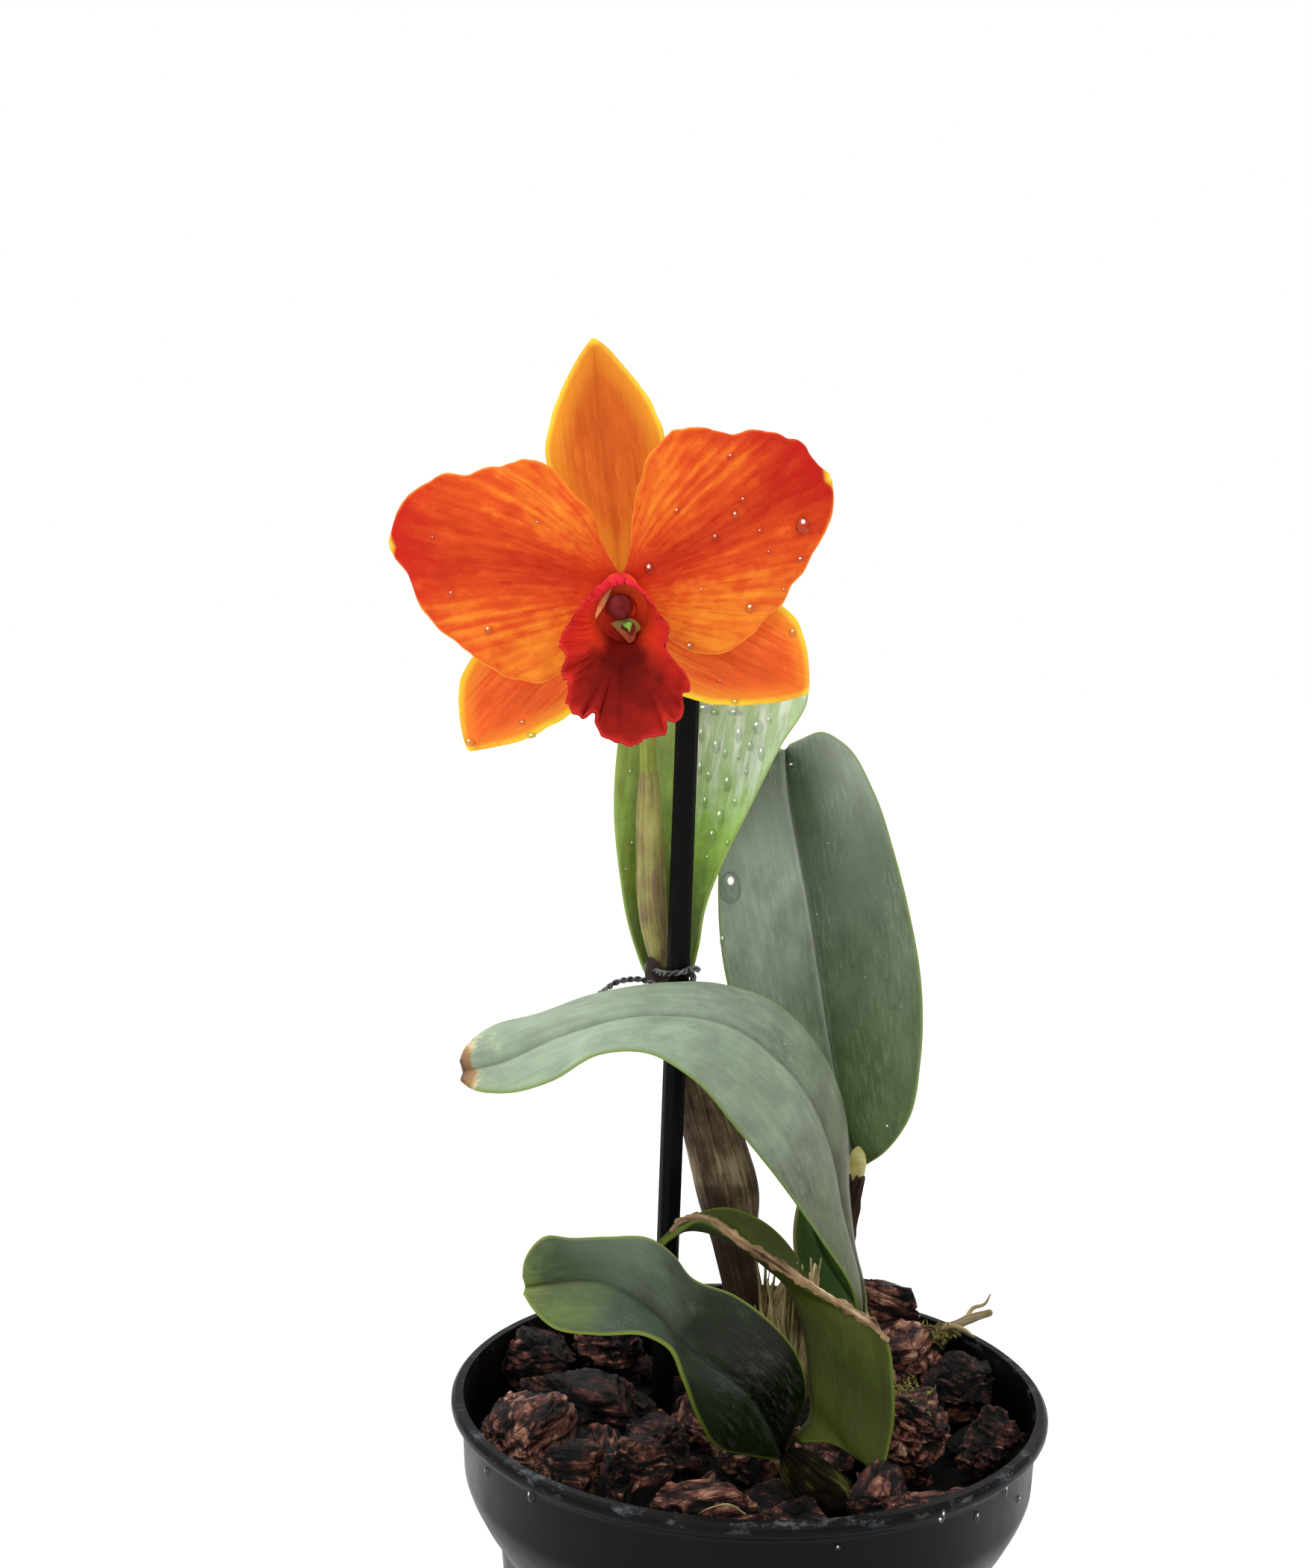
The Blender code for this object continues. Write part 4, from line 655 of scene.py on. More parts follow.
def lipSheet(rows, columns):
    # a Catmull-Rom curve leads from ring to ring and on to the margin; ruffles grow with the distance out
    angle = np.radians(np.linspace(-1, 1, columns) * lipShape["seam"])
    table = np.array(lipMargin, float)
    reach = smoothCurve(joined(*table.T, table[:, 2] * 0), np.linspace(0, 1, 600))
    radius, depth = (np.interp(np.degrees(angle), reach[:, 0], reach[:, key]) for key in (1, 2))
    aim = joined(np.sin(angle), angle * 0, -np.cos(angle))
    rings = [np.array(spot) + aim * (halfWidth, 0, halfHeight)
             for spot, (halfWidth, halfHeight) in zip(lipAxis, lipRings)]
    middle = np.array(lipAxis[-1])
    loop = joined(np.cos(angle) * 20, np.sin(angle) * 20, angle * 0)   # a ring to read the noise along
    lower = 0.25 + 0.75 * np.cos(angle / 2)**2         # the front is more ragged than the back
    teeth = lipShape["teeth"] * np.sin(lipShape["toothCount"] * angle + 4 * softNoise(loop, 2.0, 2))
    teeth = teeth * np.clip(0.5 + 1.4 * softNoise(loop, 3.1, 1, 9.0), 0.05, 1.6)
    teeth = (teeth + 0.45 * softNoise(loop, 1.6, 2)) * lower
    window = np.hanning(lipShape["calm"])
    calm = [np.convolve(np.pad(row, lipShape["calm"] // 2, mode="edge"), window / window.sum(), "valid")
            for row in (radius, depth)]
    back = np.array([0, 1.0, 0])
    rim = middle + aim * calm[0][:, None] + back * (calm[1] - middle[1])[:, None]
    notches = aim * (radius + teeth - calm[0])[:, None] + back * (depth - calm[1])[:, None]
    spots = np.stack(rings + [rim])
    t = np.linspace(0, 1, rows)
    level = t * (len(spots) - 1)
    index = np.minimum(level.astype(int), len(spots) - 2)
    u = (level - index)[:, None, None]
    before = spots[np.maximum(index - 1, 0)]
    start, end = spots[index], spots[index + 1]
    after = spots[np.minimum(index + 2, len(spots) - 1)]
    sheet = 0.5 * (2 * start + (end - before) * u + (2 * before - 5 * start + 4 * end - after) * u**2
                   + (3 * start - before - 3 * end + after) * u**3)
    t = t[:, None]
    grown = np.clip((t - lipShape["spreadFrom"]) / (1 - lipShape["spreadFrom"]), 0, 1)
    sheet = sheet + (grown**2.5)[..., None] * notches
    waves = (np.sin(9 * angle + 1.0) + 0.7 * np.sin(16 * angle + 2.4) + 0.5 * np.sin(27 * angle)) / 1.6
    ruffle = lipShape["ruffle"] * grown**3 * waves * lower
    halfway = grown * (1 - grown) * 4                  # most between the tube and the margin
    fold = lipShape["fold"] * np.cos(lipShape["foldCount"] * angle) * (np.abs(angle) < lipShape["foldReach"])
    crease = softNoise(joined(angle * 14, t * 3, sheet[..., 0] * 0), 1.0, 2)
    furrow = lipShape["furrow"] * crease * (angle < lipShape["furrowFrom"])
    off = sheet[..., 0] - sheet[:, columns // 2, :1]
    groove = lipShape["groove"] * np.exp(-(off / lipShape["grooveWidth"])**2)
    groove = groove * (np.abs(angle) < lipShape["grooveReach"])
    groove = groove * np.clip(t * 3 - 1, 0, 1) * (1 - 0.6 * grown**3)
    sheet[..., 1] += ruffle + (fold + furrow) * halfway + groove
    away = np.linalg.norm(sheet - sheet[-1:], axis=2)
    seam = (math.radians(lipShape["seam"]) - np.abs(angle)) * 6.0
    return sheet, {"place": joined(angle / math.pi, t, np.minimum(away, seam))}


def lipPart():
    # the sheet with half its thickness to either side of it, thinned to nothing at its edges
    sheet, fields = lipSheet(80, 481)
    normal = unit(np.cross(np.gradient(sheet, axis=1), np.gradient(sheet, axis=0)))
    rim = np.sqrt(1 - (1 - np.clip(fields["place"][..., 2] / lipShape["rim"], 0, 1))**2)
    half = lipShape["thick"] / 2 * np.maximum(rim, 0.08)[..., None]
    half[:, [0, -1]] = 0
    return closedSheet(sheet + normal * half, sheet - normal * half, fields, fields)


def lipFinish():
    # velvet skin: bright red on the side lobes, with painted light deep in the hood, nearly black red down the
    # middle, and a thin lighter margin that is a painted highlight
    made, add, shader = newFinish("lipVelvet", {"Roughness": 0.6, "IOR": 1.4, "Specular IOR Level": 0.06,
                                                "Subsurface Weight": 0.1, "Subsurface Scale": 0.001,
                                                "Subsurface Radius": (1.0, 0.2, 0.1)})
    place = add("Attribute", out="Vector", attribute_name="place")
    onPlace = add("SeparateXYZ", place).node.outputs
    spot = add("TexCoord", out="Object")
    cloud = add("TexNoise", Vector=spot, Scale=260.0, Detail=4.0)
    shift = add("MapRange", cloud, 0.3, 0.7, -0.05, 0.05)
    along = add("Math", onPlace[1], shift, operation="ADD")
    front = add("ValToRGB", along, stops=[(0.4, "#8a1d12"), (1.0, "#b4281e"), (0.56, "#74130d"),
                                          (0.68, "#5c0c09"), (0.84, "#76130d"), (0.95, "#941b14")])
    side = add("Math", onPlace[0], operation="ABSOLUTE")
    wide = add("Math", side, shift, operation="ADD")
    upper = add("MapRange", wide, 0.15, 0.4, 0.0, 1.0, interpolation_type="SMOOTHSTEP")
    # the orange at the low end of this ramp, deep inside the hood, is painted light; further out it is the side
    # lobes' own red
    lobes = add("ValToRGB", along, stops=[(0.4, "#ee5420"), (1.0, "#cc2a22"), (0.6, "#d8381c"),
                                          (0.8, "#c82a1a"), (0.92, "#bc2218")])
    skin = add("Mix", upper, front, lobes)
    hood = add("MapRange", side, 0.62, 0.94, 0.0, 0.85)
    outer = add("MapRange", onPlace[2], 1.2, 3.2, 1.0, 0.0)
    hooded = add("Math", hood, outer, operation="MULTIPLY")
    # margin: a lighter band just inside the edge, a painted highlight; brink: a dark red line at the very edge
    margin = add("MapRange", onPlace[2], 0.3, 0.7, 0.4, 0.0)
    brink = add("MapRange", onPlace[2], 0.08, 0.28, 0.55, 0.0)
    for mask, colour in ((hooded, "#d8243c"), (margin, "#d63438"), (brink, "#981310")):
        skin = add("Mix", mask, skin, colour)
    down = add("TexNoise", Vector=spot, Scale=4000.0, Detail=2.0)
    bump = add("Bump", Strength=0.3, Distance=0.0001, Height=down)
    fill(shader, {"Base Color": skin, "Normal": bump})
    return made


buildPiece("lip_frill", [lipPart()], lipFinish(), ["lip"])


# Column: the fused stamen and pistil in the lip's hood, its dark anther cap and the green stigma under it
columnSpine = [(-29.0, 8.3, 265.6, 2.6), (-29.0, 4.0, 265.6, 2.7), (-28.9, 0.0, 264.6, 2.8),
               (-28.7, -5.0, 262.8, 3.0), (-28.5, -7.6, 261.8, 3.0), (-28.4, -9.4, 261.0, 2.4)]
columnLooks = {"cap": (-28.8, -10.8, 262.5), "capSize": 2.6, "throat": (-28.15, -8.2, 260.9),
               "throatSize": (5.5, 6.5), "throatDepth": 1.6, "skin": "#c03018", "capSkin": "#701a1c",
               "hollow": "#5a140e", "tongue": "#84b43a"}
shieldOutline = [         # x and z about the anther cap's middle, and how far back
    (-1.7, -3.2, 0.6), (-0.6, -2.6, 0.3), (0.9, -2.3, 0.0), (2.1, -2.1, 0.1), (3.6, -3.0, 0.5),
    (4.1, -4.0, 0.6), (3.2, -4.9, 0.4), (3.0, -6.1, 0.3), (2.1, -6.9, 0.2), (0.9, -5.8, 0.1),
    (-0.2, -4.6, 0.2)]
hoodFold = [(-30.4, -8.9, 266.2, 0.15), (-31.3, -9.2, 264.8, 0.6), (-32.4, -9.6, 262.8, 0.75),
            (-33.4, -10.0, 260.8, 0.45), (-33.8, -10.2, 259.4, 0.1)]
hollowOutline = [(0.2, -3.9, 0.0), (1.1, -3.2, 0.0), (2.8, -3.2, 0.0), (3.1, -4.1, 0.0), (2.1, -5.4, 0.0),
                 (1.5, -4.8, 0.0)]
tongueOutline = [(0.6, -3.0, 0.0), (1.5, -2.7, 0.0), (2.4, -3.0, 0.0), (2.25, -3.8, 0.0), (1.95, -4.7, 0.0),
                 (1.5, -4.0, 0.0), (0.9, -3.7, 0.0)]


def globe(rows, columns):
    # latitudes down the rows, without the poles, and longitudes along the columns
    return np.linspace(-math.pi / 2, math.pi / 2, rows + 2)[1:-1, None], circle(columns)


def ballPart(centre, size, rows=24, columns=36, relief=0.0, cell=2.0):
    # ellipsoid by latitude and longitude, made uneven by noise
    latitude, longitude = globe(rows, columns)
    ball = joined(np.cos(latitude) * np.cos(longitude), np.cos(latitude) * np.sin(longitude), np.sin(latitude))
    ball = ball * np.array(size, float)
    points = ball * (1 + relief * softNoise(ball + np.array(centre), cell, 3))[..., None]
    return gridPart(points + np.array(centre, float), {"place": ball})


def frontAndBack(rings):
    # shares from near the middle out to the edge and back again, and where the front is
    share = np.concatenate([np.linspace(0.03, 1, rings), np.linspace(1, 0.03, rings)])[:, None]
    return share, np.repeat([[1.0], [0.0]], rings, 0)


def platePart(outline, centre, thick, bulge, rings=12, columns=60):
    # rings shrink from a smoothed closed outline to its middle, front and back, with a domed front
    outline = np.array(outline + outline[:1], float)
    edge = smoothCurve(outline, np.linspace(0, 1, columns + 1))[:-1]
    middle = edge.mean(0)
    share, front = frontAndBack(rings)
    flat = middle + share[..., None] * (edge - middle)
    deep = flat[..., 2] - (2 * front - 1) * thick / 2 - front * bulge * (1 - share**2)
    points = joined(flat[..., 0], deep, flat[..., 1]) + np.array(centre, float)
    return gridPart(points, {"place": joined(flat[..., 0], flat[..., 1], share)})


def plainFinish(name, colour, roughness, mottle, size, **more):
    # one colour with a second one, the mottle, in soft clouds of the given size in mm
    made, add, shader = newFinish(name, {"Roughness": roughness, **more})
    spot = add("TexCoord", out="Object")
    cloud = add("TexNoise", Vector=spot, Scale=1000.0 / size, Detail=5.0)
    blend = add("MapRange", cloud, 0.4, 0.65, 0.0, 1.0)
    mixed = add("Mix", blend, colour, mottle)
    bump = add("Bump", Strength=0.3, Distance=size * 0.0001, Height=cloud)
    fill(shader, {"Base Color": mixed, "Normal": bump})
    return made


def heightFinish(name, low, high, stops, roughness):
    # soft tissue whose colour changes with height, from low to high in mm, unevenly
    made, add, shader = newFinish(name, {"Roughness": roughness, "IOR": 1.4, "Specular IOR Level": 0.1})
    spot = add("TexCoord", out="Object")
    cloud = add("TexNoise", Vector=spot, Scale=700.0, Detail=4.0)
    height = add("SeparateXYZ", spot, out=2)
    patchy = add("Math", cloud, 0.2 * (high - low) * mm, height, operation="MULTIPLY_ADD")
    rise = add("MapRange", patchy, low * mm, high * mm)
    ramp = add("ValToRGB", rise, stops=stops)
    bump = add("Bump", Strength=0.2, Distance=0.0002, Height=cloud)
    fill(shader, {"Base Color": ramp, "Normal": bump})
    return made


def dishPart(centre, size, deep, rings=24, columns=72):
    # an elliptic dish: it sinks back by deep * (1 - share squared) towards its middle, and has a flat back
    angle = circle(columns)
    share, front = frontAndBack(rings)
    sink = deep * (1 - share**2) * front + (deep + 0.8) * (1 - front)
    spots = joined(size[0] * share * np.cos(angle), sink, size[1] * share * np.sin(angle))
    return gridPart(spots + np.array(centre))


dull = {"Specular IOR Level": 0.1}
columnSkin = plainFinish("columnSkin", columnLooks["skin"], 0.5, "#c23a1e", 2.0, **dull)
capSkin = plainFinish("antherCapSkin", columnLooks["capSkin"], 0.5, "#520c0b", 1.5, **dull)
shieldSkin = heightFinish("stigmaShieldSkin", 255.4, 261.0, [
    (0.0, "#8c2814"), (1.0, "#948048"), (0.4, "#9c4222"), (0.65, "#8a6c3a")], 0.4)
# the throat dish runs from dark red at its foot to bright orange at its top; the orange is painted light, as if
# shining through the hood
throatPaintedLight = heightFinish("throatPaintedLight", 253.5, 268.5, [
    (0.0, "#6a100b"), (1.0, "#f0602e"), (0.22, "#7a140e"), (0.42, "#b82a18"), (0.7, "#e0441e")], 0.5)
foldSkin = plainFinish("hoodFoldSkin", "#ee7c3c", 0.4, "#f8ac68", 2.0)
# a flat plate in front of the shield stands for the stigma's hollow; its dark red is painted shade
hollowPaintedShade = plainFinish("stigmaHollowPaintedShade", columnLooks["hollow"], 0.4, "#7c2416", 1.0, **dull)
tongueSkin = plainFinish("stigmaSkin", columnLooks["tongue"], 0.2, "#6c9c2c", 1.0)
cap = np.array(columnLooks["cap"])
buildPiece("column_body", [tubePart(columnSpine, 36, 40, 0.9, rounded=0.06)], columnSkin, ["column"])
buildPiece("column_throat", [dishPart(columnLooks["throat"], columnLooks["throatSize"],
                                      columnLooks["throatDepth"])], throatPaintedLight)
buildPiece("hood_fold", [tubePart(hoodFold, 20, 30, 0.5)], foldSkin)
buildPiece("anther_cap", [ballPart(cap, np.full(3, columnLooks["capSize"]), relief=0.03)], capSkin)
plates = [("stigma_shield", shieldOutline, 1.4, 0.5, shieldSkin),
          ("stigma_hollow", hollowOutline, 0.75, 0.3, hollowPaintedShade),
          ("stigma", tongueOutline, 0.4, 0.5, tongueSkin)]
for pieceName, outline, ahead, thick, skin in plates:
    buildPiece(pieceName, [platePart(outline, cap + (0.0, ahead, 0.0), thick, 0.4)], skin)
print("lip and column done")


# Stems: dry papery sheaths on the old bulbs, smooth olive skin on the young ones
stemSpines = {
    "pseudobulb_lead": [
        (1.6, 28.4, 93.4, 3.9), (0.4, 28.6, 112.0, 4.0), (-2.0, 29.2, 124.0, 4.6),
        (-4.0, 30.2, 137.0, 6.7), (-7.2, 30.4, 148.0, 6.3), (-12.2, 30.0, 163.0, 5.2),
        (-16.0, 29.4, 176.0, 4.1), (-18.0, 29.0, 184.4, 3.5)],
    "pseudobulb_right": [
        (27.0, 41.4, 97.4, 3.2), (24.4, 43.4, 108.0, 2.9), (22.6, 44.6, 122.0, 2.7),
        (24.2, 45.2, 131.0, 2.4), (25.6, 45.6, 136.8, 2.1)],
    "pseudobulb_middle": [
        (9.6, 17.0, 93.8, 3.4), (9.4, 17.0, 99.0, 4.8), (8.6, 17.2, 108.0, 5.2), (9.4, 17.4, 117.0, 3.6),
        (10.6, 17.2, 122.0, 1.9)],
    "pseudobulb_arching": [
        (28.0, 26.0, 94.8, 3.4), (27.4, 26.0, 99.0, 4.4), (26.4, 25.8, 104.0, 4.3),
        (25.8, 25.4, 108.4, 3.6)],
    "pseudobulb_front": [
        (20.0, -18.6, 87.6, 2.2), (18.0, -17.6, 88.8, 3.9), (15.4, -16.4, 90.6, 4.6), (11.4, -14.6, 93.0, 4.3),
        (8.6, -13.0, 95.0, 3.3), (6.6, -11.9, 96.6, 1.6)],
    "rhizome": [
        (27.4, 42.6, 93.4, 2.4), (28.0, 36.0, 92.4, 3.0), (27.6, 26.0, 91.0, 3.0),
        (19.0, 18.6, 90.4, 3.0), (9.8, 17.0, 90.2, 3.0), (3.0, 22.0, 90.0, 3.0),
        (1.6, 28.4, 89.8, 3.0), (0.0, 33.0, 89.6, 2.2)],
    "root_twig": [
        (35.0, 31.5, 99.0, 1.1), (40.0, 31.0, 102.6, 1.1), (44.0, 30.6, 105.8, 1.0),
        (49.0, 30.0, 108.6, 0.9), (54.4, 29.6, 110.6, 0.7)],
    "flower_stalk": [
        (-22.1, 23.9, 212.0, 1.7), (-22.8, 23.6, 226.0, 1.75), (-23.1, 23.3, 236.0, 1.75),
        (-24.0, 22.0, 248.0, 1.9), (-26.2, 18.2, 258.4, 2.2), (-28.6, 12.6, 265.0, 2.4),
        (-29.0, 8.9, 265.6, 2.2)],
    "spathe": [
        (-19.4, 26.6, 185.4, 1.9), (-21.2, 25.0, 197.0, 3.0), (-22.0, 24.0, 210.0, 3.1),
        (-22.6, 23.7, 221.0, 2.55), (-22.8, 23.6, 229.0, 1.8)]}
rhizomeBranch = [(10.0, 17.0, 90.0, 2.4), (16.0, 8.0, 88.0, 2.6), (19.6, -4.0, 85.6, 2.6),
                 (20.4, -16.0, 83.6, 2.6)]
stemLooks = {            # dark, middle and light of the streaks, ribs in mm, how many, roughness, slot
    "pseudobulb_lead": ("#2e1d14", "#66533c", "#a59272", 0.16, 23, 0.7, "dry_sheath"),
    "pseudobulb_right": ("#1a0f0a", "#35221a", "#574030", 0.4, 9, 0.85, "dry_sheath"),
    "pseudobulb_middle": ("#4a3c22", "#8a7a4c", "#cdbd8c", 0.3, 17, 0.8, "dry_sheath"),
    "pseudobulb_arching": ("#4c5a24", "#6d7c38", "#97a05c", 0.1, 19, 0.5, "green_stem"),
    # pseudobulb_front is painted near black: painted shade, as it lies under the front leaves
    "pseudobulb_front": ("#040300", "#1c1a0a", "#706c30", 0.35, 27, 0.9, "green_stem"),
    "rhizome": ("#2a2016", "#4c3c26", "#6e5c3c", 0.2, 9, 0.8, "dry_sheath"),
    "root_twig": ("#3a3022", "#7c6c4c", "#b4a882", 0.12, 7, 0.85, "dry_sheath"),
    "flower_stalk": ("#76822a", "#8e9a34", "#a8b04a", 0.05, 9, 0.45, "green_stem"),
    "spathe": ("#6b5638", "#8f8a48", "#a8a25a", 0.06, 13, 0.5, "green_stem")}


def streakFinish(name, dark, middle, light, roughness, coarse=1.0, low=None, shine=0.5):
    # plant fibre: streaks under a millimetre wide that run up the stem, in cloudy patches; low is its foot
    made, add, shader = newFinish(name, {"Roughness": roughness, "IOR": 1.45, "Specular IOR Level": shine})
    place = add("Attribute", out="Vector", attribute_name="place")
    spot = add("TexCoord", out="Object")
    drawn = add("VectorMath", place, (1.3 / coarse, 0.07 / coarse, 0.0), operation="MULTIPLY")
    streak = add("TexNoise", Vector=drawn, Scale=1.0, Detail=5.0, Roughness=0.65)
    cloud = add("TexNoise", Vector=spot, Scale=110.0, Detail=4.0)
    both = add("Math", streak, cloud, operation="ADD")
    tone = add("MapRange", both, 0.75, 1.3, 0.0, 1.0)
    tinted = add("ValToRGB", tone, stops=[(0.1, dark), (0.95, light), (0.5, middle)])
    if low:
        height = add("SeparateXYZ", spot, out=2)
        patchy = add("Math", cloud, 0.05, height, operation="MULTIPLY_ADD")
        onFoot = add("MapRange", patchy, low[0] * mm, low[1] * mm, 0.85, 0.0, interpolation_type="SMOOTHSTEP")
        tinted = add("Mix", onFoot, tinted, low[2])
    bump = add("Bump", Strength=0.6, Distance=0.0003, Height=streak)
    fill(shader, {"Base Color": tinted, "Normal": bump})
    return made


stemFeet = {             # between which heights the darker foot ends, and its colour
    # the front bulb's dark foot colour is painted shade too
    "pseudobulb_lead": (150.0, 172.0, "#2f1a12"), "pseudobulb_front": (108.0, 118.0, "#150f08")}
stemShine = {"pseudobulb_lead": 0.25, "pseudobulb_right": 0.2, "pseudobulb_front": 0.08}
for nodeName, spine in stemSpines.items():
    dark, middle, light, rib, count, roughness, slot = stemLooks[nodeName]

    def ribs(angle, share, centre, rib=rib, count=count):
        return rib * (np.sin(count * angle + 3 * share) * 0.5 + softNoise(
            joined(np.cos(angle) * 4, np.sin(angle) * 4, share * 12), 1.3, 2))

    finish = streakFinish(nodeName + "Skin", dark, middle, light, roughness, low=stemFeet.get(nodeName),
                          shine=stemShine.get(nodeName, 0.5))
    tapered = 0.12 if nodeName == "pseudobulb_front" else 0.03
    parts = [tubePart(spine, 48, 90, 0.95 if nodeName == "spathe" else 1.0, ribs, rounded=tapered)]
    if nodeName == "rhizome":
        parts.append(tubePart(rhizomeBranch, 32, 50, relief=ribs))
    buildPiece(nodeName + "_stem", parts, finish, [nodeName])
print("stems done")


# Stake and wire tie: extruded ribbed plastic, and two strands of coated wire twisted together
stakeSpine = [(-17.6, 24.6, 60.0, 2.4), (-14.6, 18.6, 270.0, 2.4)]
wireShape = {            # neck and stake are radii
    "clear": 0.8, "neck": 4.0, "stake": 2.4, "top": 186.7, "drop": 3.4, "turns": 1.15, "start": -62.0,
    "bulbAt": (-17.6, 29.1), "stakeAt": (-15.9, 21.1), "end": (-11.4, 16.8, 187.2),
    "tail": [(-24.8, 21.6, 184.2), (-27.8, 20.4, 184.0), (-32.2, 22.6, 180.6)], "strand": 0.34, "pitch": 3.2}


def wirePath():
    # the tight line round two circles, winding down, with a tail at either end
    turns = np.linspace(0, 1, 61)
    angle = math.radians(wireShape["start"]) - 2 * math.pi * wireShape["turns"] * turns
    aim = np.stack([np.cos(angle), np.sin(angle)], 1)
    bulb = np.array(wireShape["bulbAt"]) + aim * (wireShape["neck"] + wireShape["clear"])
    post = np.array(wireShape["stakeAt"]) + aim * (wireShape["stake"] + wireShape["clear"])
    outer = np.where(((bulb * aim).sum(1) > (post * aim).sum(1))[:, None], bulb, post)
    height = wireShape["top"] - wireShape["drop"] * turns
    end = np.array(wireShape["end"])
    return np.vstack([end, end + (-1.0, 0.4, 0.5), np.column_stack([outer, height]), wireShape["tail"]])


def twistedParts(path, strand, pitch):
    # each strand circles the path once a pitch, on opposite sides of it
    path = smoothCurve(np.column_stack([path, path[:, 0] * 0]), np.linspace(0, 1, 400))[:, :3]
    heading = unit(np.gradient(path, axis=0))
    aside = unit(np.cross(heading, np.array([0.0, 0.05, 1.0])))
    deep = np.cross(aside, heading)
    parts = []
    for side in (0.0, math.pi):
        turn = (2 * math.pi * lengthAlong(path) / pitch + side)[:, None]
        centre = path + strand * (np.cos(turn) * aside + np.sin(turn) * deep)
        parts.append(tubePart(np.column_stack([centre, centre[:, 0] * 0 + strand]), 8, 380))
    return parts


stakePlastic = plainFinish("blackExtrudedPlastic", "#030303", 0.5, "#080707", 6.0,
                           **{"Specular IOR Level": 0.08})
tieWire = plainFinish("coatedWire", "#323534", 0.3, "#6a6e6c", 2.0, Metallic=0.3)
ribbed = lambda angle, share, centre: -0.14 * np.abs(np.sin(4 * angle)) + 0.03 * np.sin(24 * angle)
buildPiece("stake_rod", [tubePart(stakeSpine, 96, 12, relief=ribbed)], stakePlastic, ["stake"])
buildPiece("wire_twist", twistedParts(wirePath(), wireShape["strand"], wireShape["pitch"]), tieWire,
           ["wire_tie"])
print("stake and tie done")


# Pot: injection moulded polypropylene, dull black, with a rolled rim, a collar and a tapered wall
potOuter = [(59.2, 105.0), (60.0, 104.2), (60.0, 102.6), (57.8, 101.4), (57.2, 89.4), (56.0, 86.2),
            (53.6, 81.6), (51.0, 77.6), (49.7, 74.0), (42.6, 2.2), (41.2, 0.0)]
potInner = [(40.6, 1.6), (48.5, 74.2), (49.8, 78.2), (52.4, 82.2), (54.8, 86.8), (56.0, 90.0),
            (56.5, 101.2), (57.6, 105.0)]
potShape = {"steps": 192, "drains": 6, "drainRing": 30.0, "drainRadius": 4.0}


def potFinish():
    # polypropylene: dull black with a rub-worn rim, dried water marks, and brown dust below the collar
    made, add, shader = newFinish("mouldedPolypropylene", {"IOR": 1.49, "Specular IOR Level": 0.09})
    spot = add("TexCoord", out="Object")
    place = add("SeparateXYZ", spot).node.outputs
    film = add("TexNoise", Vector=spot, Scale=60.0, Detail=6.0, Roughness=0.6)
    skin = add("ValToRGB", film, stops=[(0.35, "#050505"), (0.75, "#14110e"), (0.55, "#0a0908")])
    below = add("MapRange", place[2], 0.0745, 0.0765, 0.85, 0.0)
    tall = add("VectorMath", spot, (46.0, 46.0, 15.0), operation="MULTIPLY")
    rain = add("TexNoise", Vector=tall, Scale=1.0, Detail=5.0, Roughness=0.55)
    washed = add("MapRange", rain, 0.34, 0.66, 0.15, 1.0)
    dust = add("Math", below, washed, operation="MULTIPLY")
    thin = add("VectorMath", spot, (1.0, 1.0, 3.0), operation="MULTIPLY")
    scuff = add("TexNoise", Vector=thin, Scale=150.0, Detail=9.0, Roughness=0.75)
    atRim = add("MapRange", place[2], 0.103, 0.1044, 0.0, 1.0)
    marks = add("MapRange", scuff, 0.54, 0.7, 0.0, 0.7)
    worn = add("Math", atRim, marks, operation="MULTIPLY")
    for mask, colour in ((dust, "#221d18"), (worn, "#6a7076")):
        skin = add("Mix", mask, skin, colour)
    gloss = add("MapRange", film, 0.35, 0.7, 0.3, 0.5)
    bump = add("Bump", Strength=0.15, Distance=0.0003, Height=scuff)
    fill(shader, {"Base Color": skin, "Roughness": gloss, "Normal": bump})
    return made


def makePot():
    # the filleted profile turned, less a ring of upright cylinders through its floor
    profile = np.vstack([filletProfile(potInner, 2.0), filletProfile(potOuter, 1.2)])
    pot = buildPiece("pot_shell", [turnedPart(profile, potShape["steps"])], potFinish(), ["pot"])
    cutter = []
    for number in range(potShape["drains"]):
        angle = 2 * math.pi * (number + 0.5) / potShape["drains"]
        hole = turnedPart([(potShape["drainRadius"], -2.0), (potShape["drainRadius"], 4.0)], 32)
        aim = np.array([math.cos(angle), math.sin(angle), 0.0])
        hole["points"] = hole["points"] + potShape["drainRing"] * aim
        cutter.append(hole)
    drains = buildPiece("drains", cutter, pot.data.materials[0])
    cut = pot.modifiers.new("Drains", "BOOLEAN")
    cut.operation = "DIFFERENCE"
    cut.object = drains
    graph = bpy.context.evaluated_depsgraph_get()
    mesh = bpy.data.meshes.new_from_object(pot.evaluated_get(graph))
    pot.modifiers.clear()
    pot.data = mesh
    bpy.data.objects.remove(drains, do_unlink=True)
    mesh.set_sharp_from_angle(angle=math.radians(40))


makePot()
print("pot done")


